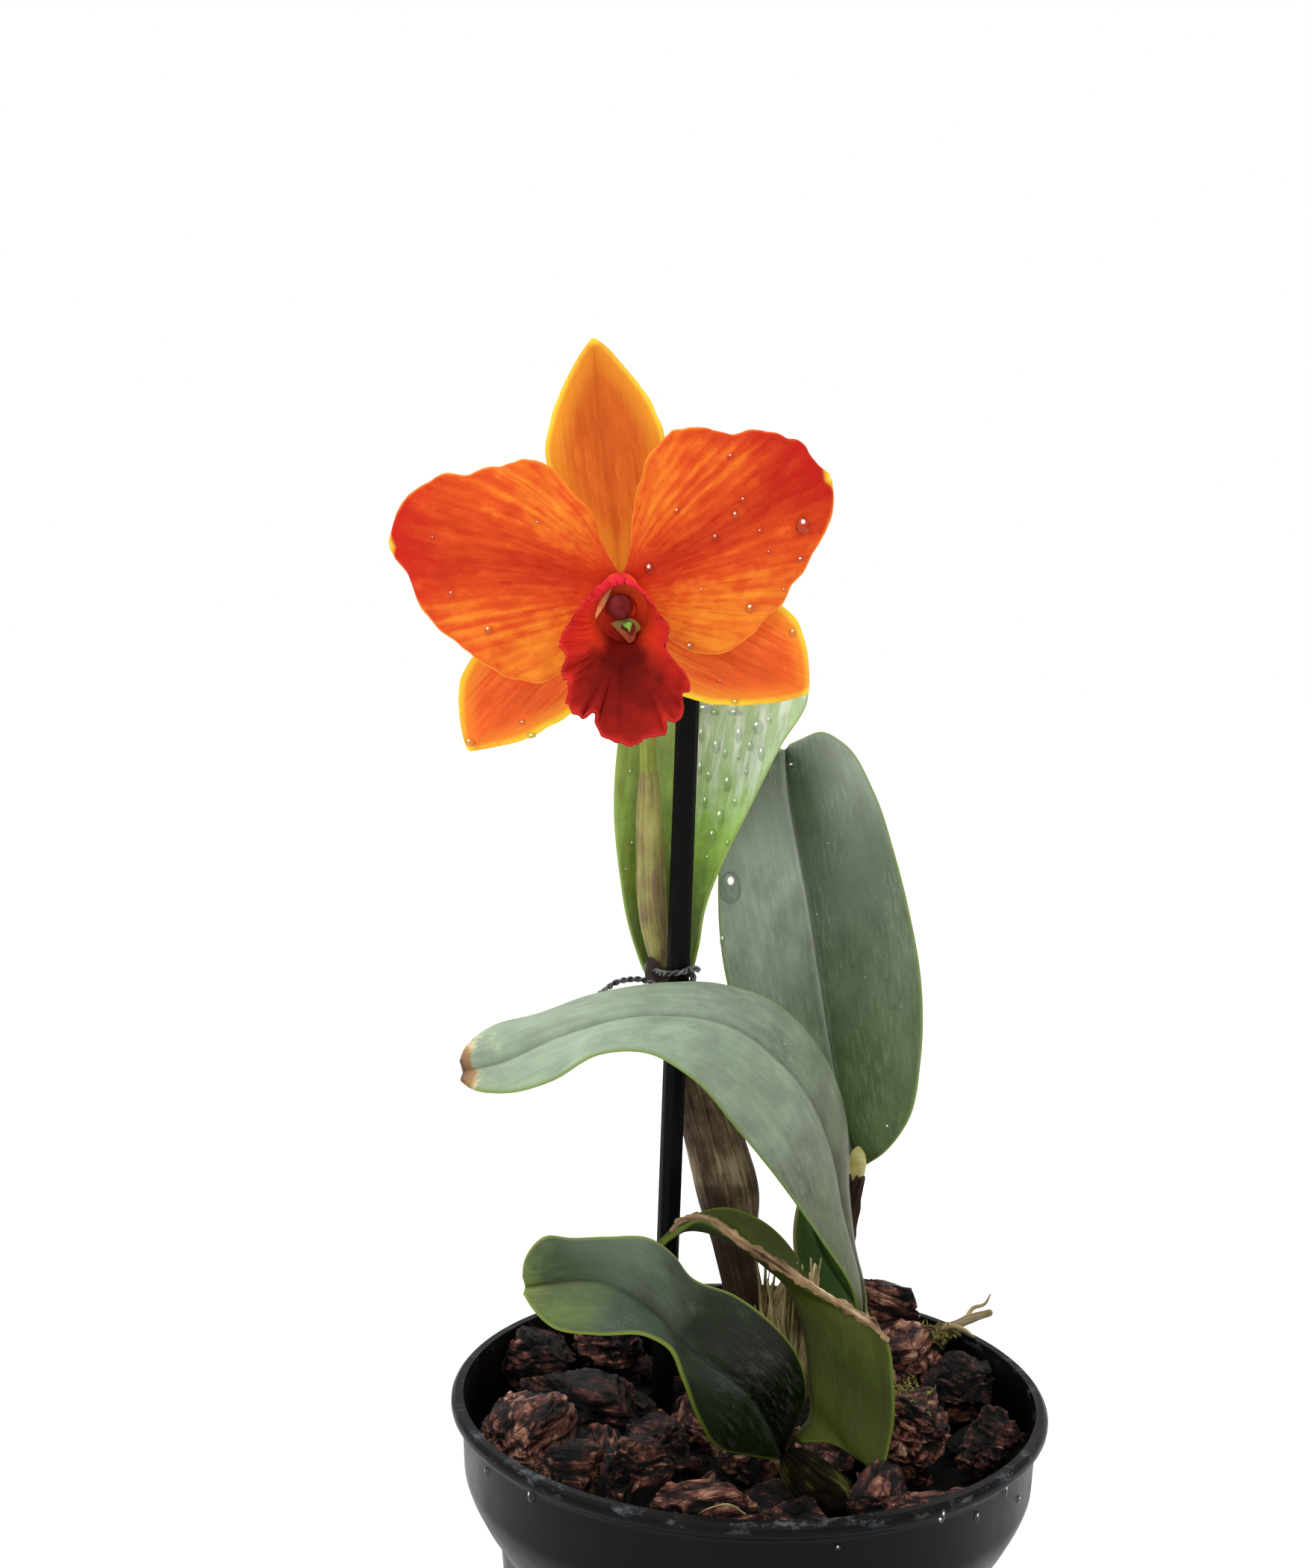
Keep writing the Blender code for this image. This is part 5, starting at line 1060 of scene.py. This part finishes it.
# Bark: chips of pine bark a few centimetres long, dark and damp, over a bed painted nearly black as shade
barkShape = {"level": 89.0, "heapAt": (32.0, 34.0), "heap": 11.0, "heapSpread": 24.0,
             "hollowAt": (4.0, -18.0), "hollow": 4.5, "hollowSpread": 15.0,
             "seed": 7, "spacing": 16.0, "reach": 48.0, "radius": 55.0, "size": (22.0, 15.5, 12.0),
             "crumbs": 150, "crumbSeed": 5, "crumbSize": (7.5, 5.0, 3.6)}
chipShape = {            # how boxy along, over and round; cuts and how far out; relief of each kind in mm
    "box": (0.55, 0.45, 0.5), "cuts": 16, "cutAt": (0.68, 1.02), "oversize": 1.06, "full": 12.0, "lump": 0.5,
    "crease": 2.2, "plate": 0.95, "plateThick": 1.7, "crumb": 0.3, "clear": 0.4}
bedWall = [(54.0, 86.8), (51.9, 82.2), (49.3, 78.2), (48.0, 74.2), (40.1, 1.9)]     # radius and height
bigChips = [             # x, y, height of middle, length, width, thickness, turn, tilt, roll, tint
    (-46.0, 30.0, 98.0, 24, 16, 14, 30, 10, 15, 0.35), (-46.0, -8.0, 97.0, 20, 18, 15, 70, -8, 10, 0.9),
    (-33.0, 10.0, 96.5, 27, 16, 13, -15, 4, 20, 0.2), (-36.0, -26.0, 94.5, 15, 12, 18, 20, 10, -12, 0.6),
    (-24.0, -24.0, 95.0, 14, 12, 22, 60, 14, 10, 0.45), (-19.0, -8.0, 95.0, 20, 12, 13, 100, 20, 10, 0.3),
    (-9.0, -34.0, 94.5, 24, 14, 12, 8, 2, 12, 0.75), (32.0, -2.0, 98.0, 25, 16, 17, 80, 12, 20, 0.8),
    (32.0, 44.0, 104.5, 17, 13, 17, 10, 18, 6, 0.7), (45.0, 18.0, 99.0, 20, 14, 14, 95, 15, 12, 0.15),
    (49.0, -8.0, 97.0, 22, 11, 14, 75, 24, 20, 0.3), (32.0, -37.0, 94.5, 24, 15, 12, 25, 4, -12, 0.5),
    (-10.0, 40.0, 98.0, 20, 14, 13, 40, 8, 10, 0.4), (-30.0, 38.0, 98.5, 19, 13, 14, 120, 12, -8, 0.45),
    (22.0, -44.0, 92.5, 20, 12, 11, 160, 6, 10, 0.25), (24.0, -28.0, 93.0, 18, 11, 12, 60, -10, 8, 0.35)]


def barkHeight(x, y):
    # level, plus a bell-shaped heap, less a bell-shaped hollow
    toHeap = np.hypot(x - barkShape["heapAt"][0], y - barkShape["heapAt"][1]) / barkShape["heapSpread"]
    toHollow = np.hypot(x - barkShape["hollowAt"][0], y - barkShape["hollowAt"][1]) / barkShape["hollowSpread"]
    return (barkShape["level"] + barkShape["heap"] * np.exp(-toHeap**2)
            - barkShape["hollow"] * np.exp(-toHollow**2))


def chipPlaces():
    # the big chips, then rings of chips with seeded turns wherever no big one lies
    rng = random.Random(barkShape["seed"])
    spacing = barkShape["spacing"]
    chips = [(chip[:3], chip[3:6], chip[6:9], chip[9], True) for chip in bigChips]
    rings = int(barkShape["radius"] / spacing)
    for ring in range(rings + 1):
        radius = barkShape["reach"] * ring / rings
        count = max(1, round(2 * math.pi * radius / spacing))
        for number in range(count):
            angle = 2 * math.pi * (number + rng.uniform(-0.2, 0.2)) / count + ring
            x = radius * math.cos(angle)
            y = radius * math.sin(angle)
            scale = rng.uniform(0.75, 1.15)
            turns = (rng.uniform(0, 360), rng.uniform(-28, 28), rng.uniform(-28, 28))
            near = min(math.hypot(x - chip[0], y - chip[1]) for chip in bigChips)
            if near > spacing * 0.72:
                height = float(barkHeight(x, y)) + rng.uniform(0.0, 2.0)
                chips.append(((x, y, height), tuple(side * scale for side in barkShape["size"]), turns,
                              None, False))
    return chips


def chipPart(place, size, turns, tint, number, rows, columns):
    # boxy ellipsoid chopped flat by random planes; plates 1.7 mm thick end in steps, creases run lengthwise
    rng = np.random.default_rng(100 + number)
    latitude, longitude = globe(rows, columns)
    bend = lambda value, power: np.sign(value) * np.abs(value)**power
    along, over, around = chipShape["box"]
    ring = bend(np.cos(latitude), over)
    ball = joined(bend(np.sin(latitude), along), ring * bend(np.cos(longitude), around),
                  ring * bend(np.sin(longitude), around))
    for cut in range(chipShape["cuts"]):
        normal = unit(rng.normal(size=3))
        limit = rng.uniform(*chipShape["cutAt"])
        beyond = np.maximum(0, (ball * normal).sum(-1) - limit)
        ball = ball - normal * beyond[..., None]
    points = ball * (np.array(size, float) / 2 * chipShape["oversize"])
    shift = rng.uniform(0, 200, 3)
    outward = unit(ball)
    fine = max(0.3, min(1.0, min(size) / chipShape["full"]))           # small chips have less relief
    lumps = softNoise(points, (9.0, 6.0, 5.0), 1, shift) * chipShape["lump"]
    cracked = np.abs(softNoise(points, (13.0, 2.8, 2.4), 2, shift + 50))
    creases = -np.maximum(0, 0.5 - 2.0 * cracked) * chipShape["crease"]
    level = points[..., 2] / chipShape["plateThick"] + 0.9 * softNoise(points, (10.0, 6.0, 6.0), 2, shift + 90)
    step = level - np.floor(level)
    plates = chipShape["plate"] * (step**2 - 0.4) * (1 - np.abs(outward[..., 2]))
    crumbs = softNoise(points, (1.8, 1.0, 0.8), 2, shift + 130) * chipShape["crumb"]
    relief = (lumps + creases + plates + crumbs) * fine
    points = points + outward * relief[..., None]
    grain = points + shift
    matrix = np.array(Euler([math.radians(turns[2]), math.radians(turns[1]), math.radians(turns[0])],
                            "XYZ").to_matrix())
    points = points @ matrix.T + np.array(place)
    away = np.hypot(points[..., 0], points[..., 1])
    wall = np.interp(points[..., 2], [z for r, z in potInner], [r for r, z in potInner]) - chipShape["clear"]
    inside = np.minimum(1, wall / np.maximum(away, 1e-6))[..., None]
    points = points * np.concatenate([inside, inside, inside * 0 + 1], -1)
    made = gridPart(points, {"grain": grain, "relief": (creases + crumbs + plates)[..., None]})
    return addFields(made, tint=rng.uniform(0, 1) if tint is None else tint)


def barkFinish():
    # damp pine bark: corky layers in maroon, black and tan, with painted shade in the creases and on the bed
    # and painted light on raised parts, rough where dry and glossy where wet
    made, add, shader = newFinish("dampPineBark", {"IOR": 1.45, "Specular IOR Level": 0.4})
    grain = add("Attribute", out="Vector", attribute_name="grain")
    tint = add("Attribute", out="Fac", attribute_name="tint")
    relief = add("Attribute", out="Fac", attribute_name="relief")
    patches = add("TexNoise", Vector=grain, Scale=0.16, Detail=5.0, Roughness=0.6)
    drawn = add("VectorMath", grain, (0.12, 0.5, 1.6), operation="MULTIPLY")
    layers = add("TexNoise", Vector=drawn, Scale=1.0, Detail=6.0, Roughness=0.7)
    fine = add("TexNoise", Vector=grain, Scale=0.9, Detail=8.0, Roughness=0.75)
    lean = add("MapRange", tint, 0.0, 1.0, -0.16, 0.21)
    # painted shading: darker where the relief sinks into creases and plate steps and on the bed, a little
    # lighter where it rises
    paintedShading = add("MapRange", relief, -1.2, 0.6, -0.5, 0.14)
    wider = add("MapRange", layers, 0.3, 0.7, -0.18, 0.18)
    grit = add("MapRange", fine, 0.3, 0.7, -0.11, 0.11)
    bent = add("VectorMath", fine.node.outputs["Color"], (1.6, 1.6, 1.6), grain, operation="MULTIPLY_ADD")
    long = add("VectorMath", bent, (0.09, 0.3, 0.45), operation="MULTIPLY")
    cracks = add("TexVoronoi", Vector=long, Scale=1.0, feature="DISTANCE_TO_EDGE")
    split = add("MapRange", cracks, 0.0, 0.06, -0.2, 0.01)
    level = patches
    for more in (lean, paintedShading, wider, grit, split):
        level = add("Math", level, more, operation="ADD")
    ramp = add("ValToRGB", level, stops=[(0.2, "#030202"), (1.0, "#f4d6be"), (0.33, "#1b0a08"),
                                         (0.43, "#47221a"), (0.53, "#744435"), (0.64, "#a36e57"),
                                         (0.76, "#d4a688")])
    wet = add("MapRange", patches, 0.42, 0.6, 0.2, 0.75)
    gap = add("Math", split, 1.5, layers, operation="MULTIPLY_ADD")
    rough = add("Math", fine, gap, operation="ADD")
    bump = add("Bump", Strength=1.0, Distance=0.001, Height=rough)
    fill(shader, {"Base Color": ramp, "Roughness": wet, "Normal": bump})
    return made


def bedPart():
    # the fill under the chips: rings from the middle out to the wall, then down the wall to the floor
    angle = circle(64)
    wall = np.array(bedWall)
    radius = np.concatenate([np.linspace(1.0, barkShape["radius"], 24), wall[:, 0]])[:, None]
    x, y = radius * np.cos(angle), radius * np.sin(angle)
    height = barkHeight(x, y) - 1.5 + 1.2 * softNoise(joined(x, y, x * 0), 6.0, 3)
    height[-len(wall):] = wall[:, 1:]
    spots = joined(x, y, height)
    # a relief of -1 paints the bed nearly black: painted shade in the gaps between the chips
    return addFields(gridPart(spots, {"grain": spots, "relief": x[..., None] * 0 - 1.0}), tint=0.0)


def crumbParts():
    # small broken bits that lie between the chips, a few dozen faces each
    rng = np.random.default_rng(barkShape["crumbSeed"])
    parts = []
    for number in range(barkShape["crumbs"]):
        radius = barkShape["reach"] * 1.08 * math.sqrt(rng.uniform(0, 1))
        angle = rng.uniform(0, 2 * math.pi)
        x, y = radius * math.cos(angle), radius * math.sin(angle)
        size = np.array(barkShape["crumbSize"]) * rng.uniform(0.55, 1.3)
        place = (x, y, float(barkHeight(x, y)) + rng.uniform(0.5, 3.0))
        parts.append(chipPart(place, size, tuple(rng.uniform(-60, 60, 3)), None, 500 + number, 5, 9))
    return parts


bark = barkFinish()
chips = chipPlaces()
shown = [chipPart(*chip[:4], number, 60, 88) for number, chip in enumerate(chips) if chip[4]]
filler = [chipPart(*chip[:4], number, 36, 52) for number, chip in enumerate(chips) if not chip[4]]
buildPiece("bark_large_chips", shown, bark, ["bark_bed"])
buildPiece("bark_small_chips", filler, bark, ["bark_bed"])
buildPiece("bark_fill", [bedPart()], bark, ["bark_bed"])
buildPiece("bark_crumbs", crumbParts(), bark, ["bark_bed"])
print("bark done:", len(chips), "chips")


# Details: dried edges, joint, scale, fibres, moss, fine roots
driedFinish = streakFinish("driedLeafFibre", "#3a2616", "#9a7c58", "#e2d2ac", 0.8, 1.2)
paleJoint = plainFinish("petioleJointSkin", "#a89f58", 0.45, "#c4ba78", 3.0)
brownScale = plainFinish("dryScale", "#1e100c", 0.7, "#3a241a", 2.0)
shreddedFibre = streakFinish("shreddedSheath", "#6a5a36", "#b09c6a", "#e0d2a6", 0.85, 0.7)
mossGreen = plainFinish("dampMoss", "#5c5624", 0.8, "#9c9048", 2.0)
rootSkin = streakFinish("dryRootSkin", "#4a3d28", "#94825a", "#d0c294", 0.85, 0.8)
tornEdge = [(-16.6, 0.0, 137.2, 0.3), (-13.6, 3.4, 138.9, 0.7), (-9.0, 4.6, 138.4, 0.95),
            (-2.5, 3.2, 134.7, 1.0), (6.4, 0.2, 129.9, 1.15), (14.0, -3.8, 126.4, 0.95),
            (20.0, -7.2, 124.0, 1.05), (24.8, -10.8, 122.0, 0.7), (26.6, -13.0, 120.0, 0.25)]
jointSpine = [(24.6, 45.4, 133.6, 1.9), (25.2, 44.8, 137.0, 2.2), (25.4, 43.6, 140.2, 2.0),
              (25.4, 42.4, 143.2, 0.9)]
scaleSpine = [(-20.4, 24.6, 183.4, 2.3), (-21.0, 24.0, 186.2, 1.7), (-21.8, 23.8, 188.6, 0.25)]
fibreShape = {           # where they stand and lean, from and to which heights, and how wide
    "count": 46, "seed": 21, "centre": (9.0, 17.2), "angle": (-3.0, 0.6), "foot": (4.4, 5.4), "top": (4.2, 8.4),
    "low": (98, 110), "high": (113, 127), "turn": 0.35, "wide": (0.35, 1.05), "curl": 1.6, "curlFrom": 0.55}
mossShape = {"blades": 150, "seed": 33, "long": (0.8, 2.0), "wide": 0.26, "places": [
    (43.6, 30.4, 105.6, 1.7), (39.6, 30.6, 102.8, 1.5), (31.0, 0.4, 104.4, 2.2), (30.4, -6.0, 103.6, 1.8)]}
sideRoots = [            # forks of the dry twig, then fine roots that lie on the bark
    [(43.0, 30.6, 105.2, 0.7), (45.4, 28.8, 107.6, 0.55), (48.2, 28.2, 107.0, 0.45), (50.6, 28.6, 105.0, 0.2)],
    [(48.6, 30.0, 108.4, 0.6), (50.4, 31.2, 110.8, 0.45), (52.8, 31.4, 111.6, 0.35), (54.0, 30.8, 114.2, 0.15)],
    [(38.6, 31.2, 101.8, 0.9), (41.6, 33.6, 103.4, 0.75), (45.6, 34.6, 101.6, 0.6), (49.0, 34.4, 101.8, 0.3)],
    [(46.0, 30.4, 107.2, 0.5), (47.2, 31.6, 104.8, 0.4), (49.2, 31.8, 103.6, 0.2)],
    [(-2.0, -39.6, 97.2, 0.22), (-5.4, -40.8, 99.6, 0.2), (-8.8, -40.6, 98.6, 0.18),
     (-11.0, -39.0, 96.4, 0.12)]]


def torn(angle, share, centre):
    # frayed outline: coarse and fine noise along the strip
    return 0.5 * softNoise(joined(np.cos(angle) * 1.2, np.sin(angle) * 1.2, share * 60), 1.6, 3)


def fibreParts():
    # torn strips of sheath that stand off the middle bulb and curl outwards
    rng = np.random.default_rng(fibreShape["seed"])
    share = np.linspace(0, 1, 6)
    parts = []
    for number in range(fibreShape["count"]):
        angle, foot, top, low, high = (rng.uniform(*fibreShape[key])
                                       for key in ("angle", "foot", "top", "low", "high"))
        aim = angle + rng.uniform(-fibreShape["turn"], fibreShape["turn"]) * share
        wide = rng.uniform(*fibreShape["wide"]) * (1.0 - 0.75 * share)
        curl = fibreShape["curl"] * np.maximum(0, share - fibreShape["curlFrom"])
        reach = foot + (top - foot) * share**2 - curl
        x, y = np.array(fibreShape["centre"])[:, None] + reach * np.array([np.cos(aim), np.sin(aim)])
        parts.append(tubePart(joined(x, y, low + (high - low) * share, wide), 6, 14, 0.45))
    return parts


def mossParts():
    # short tapering leaves that stand out in all directions from a few tufts
    rng = np.random.default_rng(mossShape["seed"])
    parts = []
    for *centre, wide in mossShape["places"]:
        for number in range(mossShape["blades"]):
            aim = unit(rng.normal(size=3) + (0, 0, 0.7))
            foot = np.array(centre) + rng.normal(size=3) * (wide, 0.7 * wide, 0.5 * wide)
            long = rng.uniform(*mossShape["long"])
            spine = [(*(foot + aim * long * share), mossShape["wide"] * (1.05 - share))
                     for share in (0, 0.5, 1)]
            parts.append(tubePart(spine, 4, 3))
    return parts


buildPiece("leaf_front_right_torn_edge", [tubePart(tornEdge, 20, 220, 0.3, torn)], driedFinish)
buildPiece("leaf_right_joint", [tubePart(jointSpine, 28, 24, 0.7, rounded=0.2)], paleJoint)
buildPiece("lead_bulb_scale", [tubePart(scaleSpine, 20, 16, 0.5)], brownScale)
buildPiece("middle_bulb_fibres", fibreParts(), shreddedFibre)
buildPiece("moss_tufts", mossParts(), mossGreen)
buildPiece("side_roots", [tubePart(spine, 8, 24) for spine in sideRoots], rootSkin)
print("details done")


# Water drops: each lies where the line of sight through a point of the photograph meets its leaf or petal
dropPlaces = {            # across and down the photograph, width and length in mm
    "petal_right_blade": [
        (1075, 705, 3.0, 3.6), (1072, 750, 1.8, 1.4), (985, 690, 1.5, 1.8), (958, 720, 1.2, 1.6),
        (907, 685, 1.2, 1.5), (870, 762, 2.0, 2.8), (978, 612, 1.2, 1.2), (1018, 712, 1.2, 1.0),
        (1030, 740, 0.9, 0.8), (1005, 815, 2.0, 2.2), (925, 865, 1.6, 1.6), (995, 670, 1.2, 1.4),
        (940, 790, 0.8, 0.9), (1050, 790, 0.8, 1.0)],
    "petal_left_blade": [
        (655, 845, 1.6, 2.0), (605, 795, 1.2, 1.2), (667, 905, 1.6, 1.4), (700, 915, 1.2, 1.0),
        (580, 720, 0.8, 0.9), (720, 700, 0.8, 0.8)],
    "lateral_sepal_left_blade": [
        (630, 995, 2.2, 1.6), (712, 985, 2.0, 1.2), (700, 968, 1.4, 1.0)],
    "lateral_sepal_right_blade": [
        (985, 940, 1.6, 1.2), (1062, 848, 1.5, 1.8), (965, 912, 0.9, 0.8)],
    "leaf_behind_flower_blade": [
        (945, 950, 4.0, 1.8), (985, 955, 3.0, 1.4), (1015, 975, 2.2, 3.0), (990, 985, 1.4, 3.4),
        (960, 1000, 1.6, 3.0), (1020, 1010, 1.2, 3.2), (975, 1050, 1.6, 3.6), (965, 1095, 1.8, 3.4),
        (985, 1075, 1.0, 2.0), (950, 1040, 1.2, 2.6), (955, 1120, 1.6, 2.8), (1000, 1035, 1.0, 1.6),
        (940, 985, 1.2, 3.6), (844, 1035, 0.9, 1.4), (846, 1130, 1.0, 1.2), (838, 1165, 0.8, 1.0),
        (930, 965, 1.4, 4.4), (945, 1075, 1.0, 3.0), (972, 1010, 0.9, 2.4), (1030, 965, 1.0, 1.6),
        (1005, 1000, 1.2, 2.2), (938, 1030, 1.0, 3.4), (958, 955, 2.0, 1.0), (1000, 940, 2.4, 1.0),
        (975, 1130, 0.8, 1.6), (948, 1150, 0.9, 1.8), (990, 1015, 0.8, 1.2)],
    "leaf_right_blade": [
        (979, 1190, 4.8, 7.2), (1062, 1025, 2.4, 1.4), (968, 1260, 1.2, 2.6), (1160, 1310, 0.8, 0.8),
        (1190, 1510, 1.4, 1.8), (1110, 1130, 0.8, 0.7), (1095, 1225, 0.7, 0.7)],
    "leaf_arching_blade": [
        (1050, 1400, 0.8, 0.8), (930, 1375, 0.8, 0.7), (1075, 1470, 0.7, 0.7)],
    "pot_shell": [
        (652, 1972, 1.0, 2.0), (712, 2004, 1.6, 2.6), (1262, 2030, 1.2, 3.0), (1308, 2032, 1.0, 2.4),
        (1346, 1996, 1.2, 2.8), (1364, 2008, 0.8, 1.6), (1122, 2072, 1.2, 1.2)]}
dropShape = {"height": 0.42, "sunk": 0.3, "rows": 14, "columns": 24, "uneven": 0.05}


def sightLine(across, down):
    # direction from the camera through a point of the photograph
    pitch, roll = math.radians(cameraView["pitch"]), math.radians(cameraView["roll"])
    offX, offY = across - photoWidth / 2, down - photoHeight / 2
    u = (offX * math.cos(roll) + offY * math.sin(roll)) / cameraView["focal"]
    v = (offY * math.cos(roll) - offX * math.sin(roll)) / cameraView["focal"]
    ahead = Vector((u, math.cos(pitch) - v * math.sin(pitch), -math.sin(pitch) - v * math.cos(pitch)))
    return ahead.normalized()


def dropParts():
    # domes with a flat foot just under the surface, longer down the slope than across it
    parts = []
    eye = Vector(cameraView["place"]) * mm
    for pieceName, places in dropPlaces.items():
        body = bmesh.new()
        body.from_mesh(bpy.data.objects[pieceName].data)
        surface = BVHTree.FromBMesh(body)
        for across, down, wide, long in places:
            spot, normal, index, distance = surface.ray_cast(eye, sightLine(across, down))
            if spot is None:
                print("no surface for the drop at", across, down)
                continue
            normal = np.array(normal) * (-1 if normal[1] > 0 else 1)
            slope = unit(np.array([0, 0, -1.0]) + normal * normal[2])
            aside = np.cross(normal, slope)
            drop = ballPart((0, 0, 0), (1, 1, 1), dropShape["rows"], dropShape["columns"],
                            dropShape["uneven"], 0.7 + 0.1 * (across % 7))
            x, y, z = drop["points"].T[..., None]
            height = np.maximum(z * dropShape["height"] * min(wide, long), -dropShape["sunk"])
            drop["points"] = x * aside * wide / 2 + y * slope * long / 2 + height * normal + np.array(spot) / mm
            parts.append(drop)
        body.free()
    return parts


def waterFinish():
    # rain water: clear and smooth; a light patch high on each drop stands for the window that it mirrors
    made, add, shader = newFinish("rainWater", {"Base Color": "#e4e7e4", "Roughness": 0.0, "IOR": 1.33,
                                                "Transmission Weight": 1.0, "Emission Color": "#ffffff"})
    place = add("Attribute", out="Vector", attribute_name="place")
    away = add("VectorMath", place, (-0.25, -0.5, 0.8), operation="DISTANCE", out="Value")
    window = add("MapRange", away, 0.2, 0.34, 0.85, 0.0)
    fill(shader, {"Emission Strength": window})
    return made


drops = buildPiece("water_drops", dropParts(), waterFinish())
drops.visible_shadow = False         # real drops pass the light on to what they lie on
print("water drops done")


# Studio: pale floor, a soft white sky that is brightest overhead, and the camera at the photograph's place
studio = {"floorSize": 4000.0, "overhead": 1.4, "level": 0.4, "backdrop": 1.0}
suns = {                 # strength, spread in degrees and where it stands
    "skySun": (1.3, 55.0, (-0.45, 0.25, 1.0)), "fillSun": (0.5, 80.0, (-0.6, -1.0, 0.55)),
    "glintSun": (0.3, 7.0, (0.2, -0.75, 0.8))}


def makeFloor():
    # one square of matt paper, 8 m wide
    half = studio["floorSize"]
    corners = [(-half, -half, 0), (half, -half, 0), (half, half, 0), (-half, half, 0)]
    mesh = bpy.data.meshes.new("floor")
    mesh.from_pydata(np.array(corners) * mm, [], [(0, 1, 2, 3)])
    paper, add, shader = newFinish("studioPaper", {"Roughness": 0.9, "Specular IOR Level": 0.1})
    fibres = add("TexNoise", Vector=add("TexCoord", out="Object"), Scale=900.0, Detail=3.0)
    fill(shader, {"Base Color": add("ValToRGB", fibres, stops=[(0.0, "#e8e8e6"), (1.0, "#f0f0ee")])})
    mesh.materials.append(paper)
    placeObject("floor", mesh)


def makeSky():
    # light rises from the level sky to the sky overhead; the backdrop behind the plant is plain white
    world = bpy.data.worlds.new("studio")
    world.use_nodes = True
    add = functools.partial(addNode, world.node_tree)
    up = add("SeparateXYZ", add("TexCoord", out="Generated"), out=2)
    rise = add("MapRange", up, 0.0, 1.0, studio["level"], studio["overhead"])
    seen = add("LightPath", out="Is Camera Ray")
    power = add("Mix", seen, A=rise, B=studio["backdrop"], data_type="FLOAT")
    fill(world.node_tree.nodes["Background"], {"Color": "#ffffff", "Strength": power})
    bpy.context.scene.world = world
    bpy.context.scene.view_settings.view_transform = "Standard"


def makeSun(name, strength, spread, source):
    # a broad soft sun that shines from the given direction
    lamp = bpy.data.lights.new(name, "SUN")
    lamp.energy = strength
    lamp.angle = math.radians(spread)
    made = placeObject(name, lamp)
    made.rotation_euler = Vector(source).to_track_quat("Z", "Y").to_euler()


def makeCamera():
    # the focal length in pixels of the photograph, turned to a lens on a 36 mm sensor
    lens = bpy.data.cameras.new("photographView")
    lens.sensor_fit = "HORIZONTAL"
    lens.sensor_width = 36.0
    lens.lens = cameraView["focal"] / photoWidth * lens.sensor_width
    lens.clip_start = 0.01
    eye = placeObject("photographView", lens)
    eye.location = Vector(cameraView["place"]) * mm
    level = Euler((math.radians(90 - cameraView["pitch"]), 0, 0)).to_quaternion()
    turn = Euler((0, 0, math.radians(cameraView["roll"]))).to_quaternion()
    eye.rotation_euler = (level @ turn).to_euler()
    bpy.context.scene.camera = eye


makeFloor()
makeSky()
for sunName, (strength, spread, source) in suns.items():
    makeSun(sunName, strength, spread, source)
makeCamera()
print("scene done")
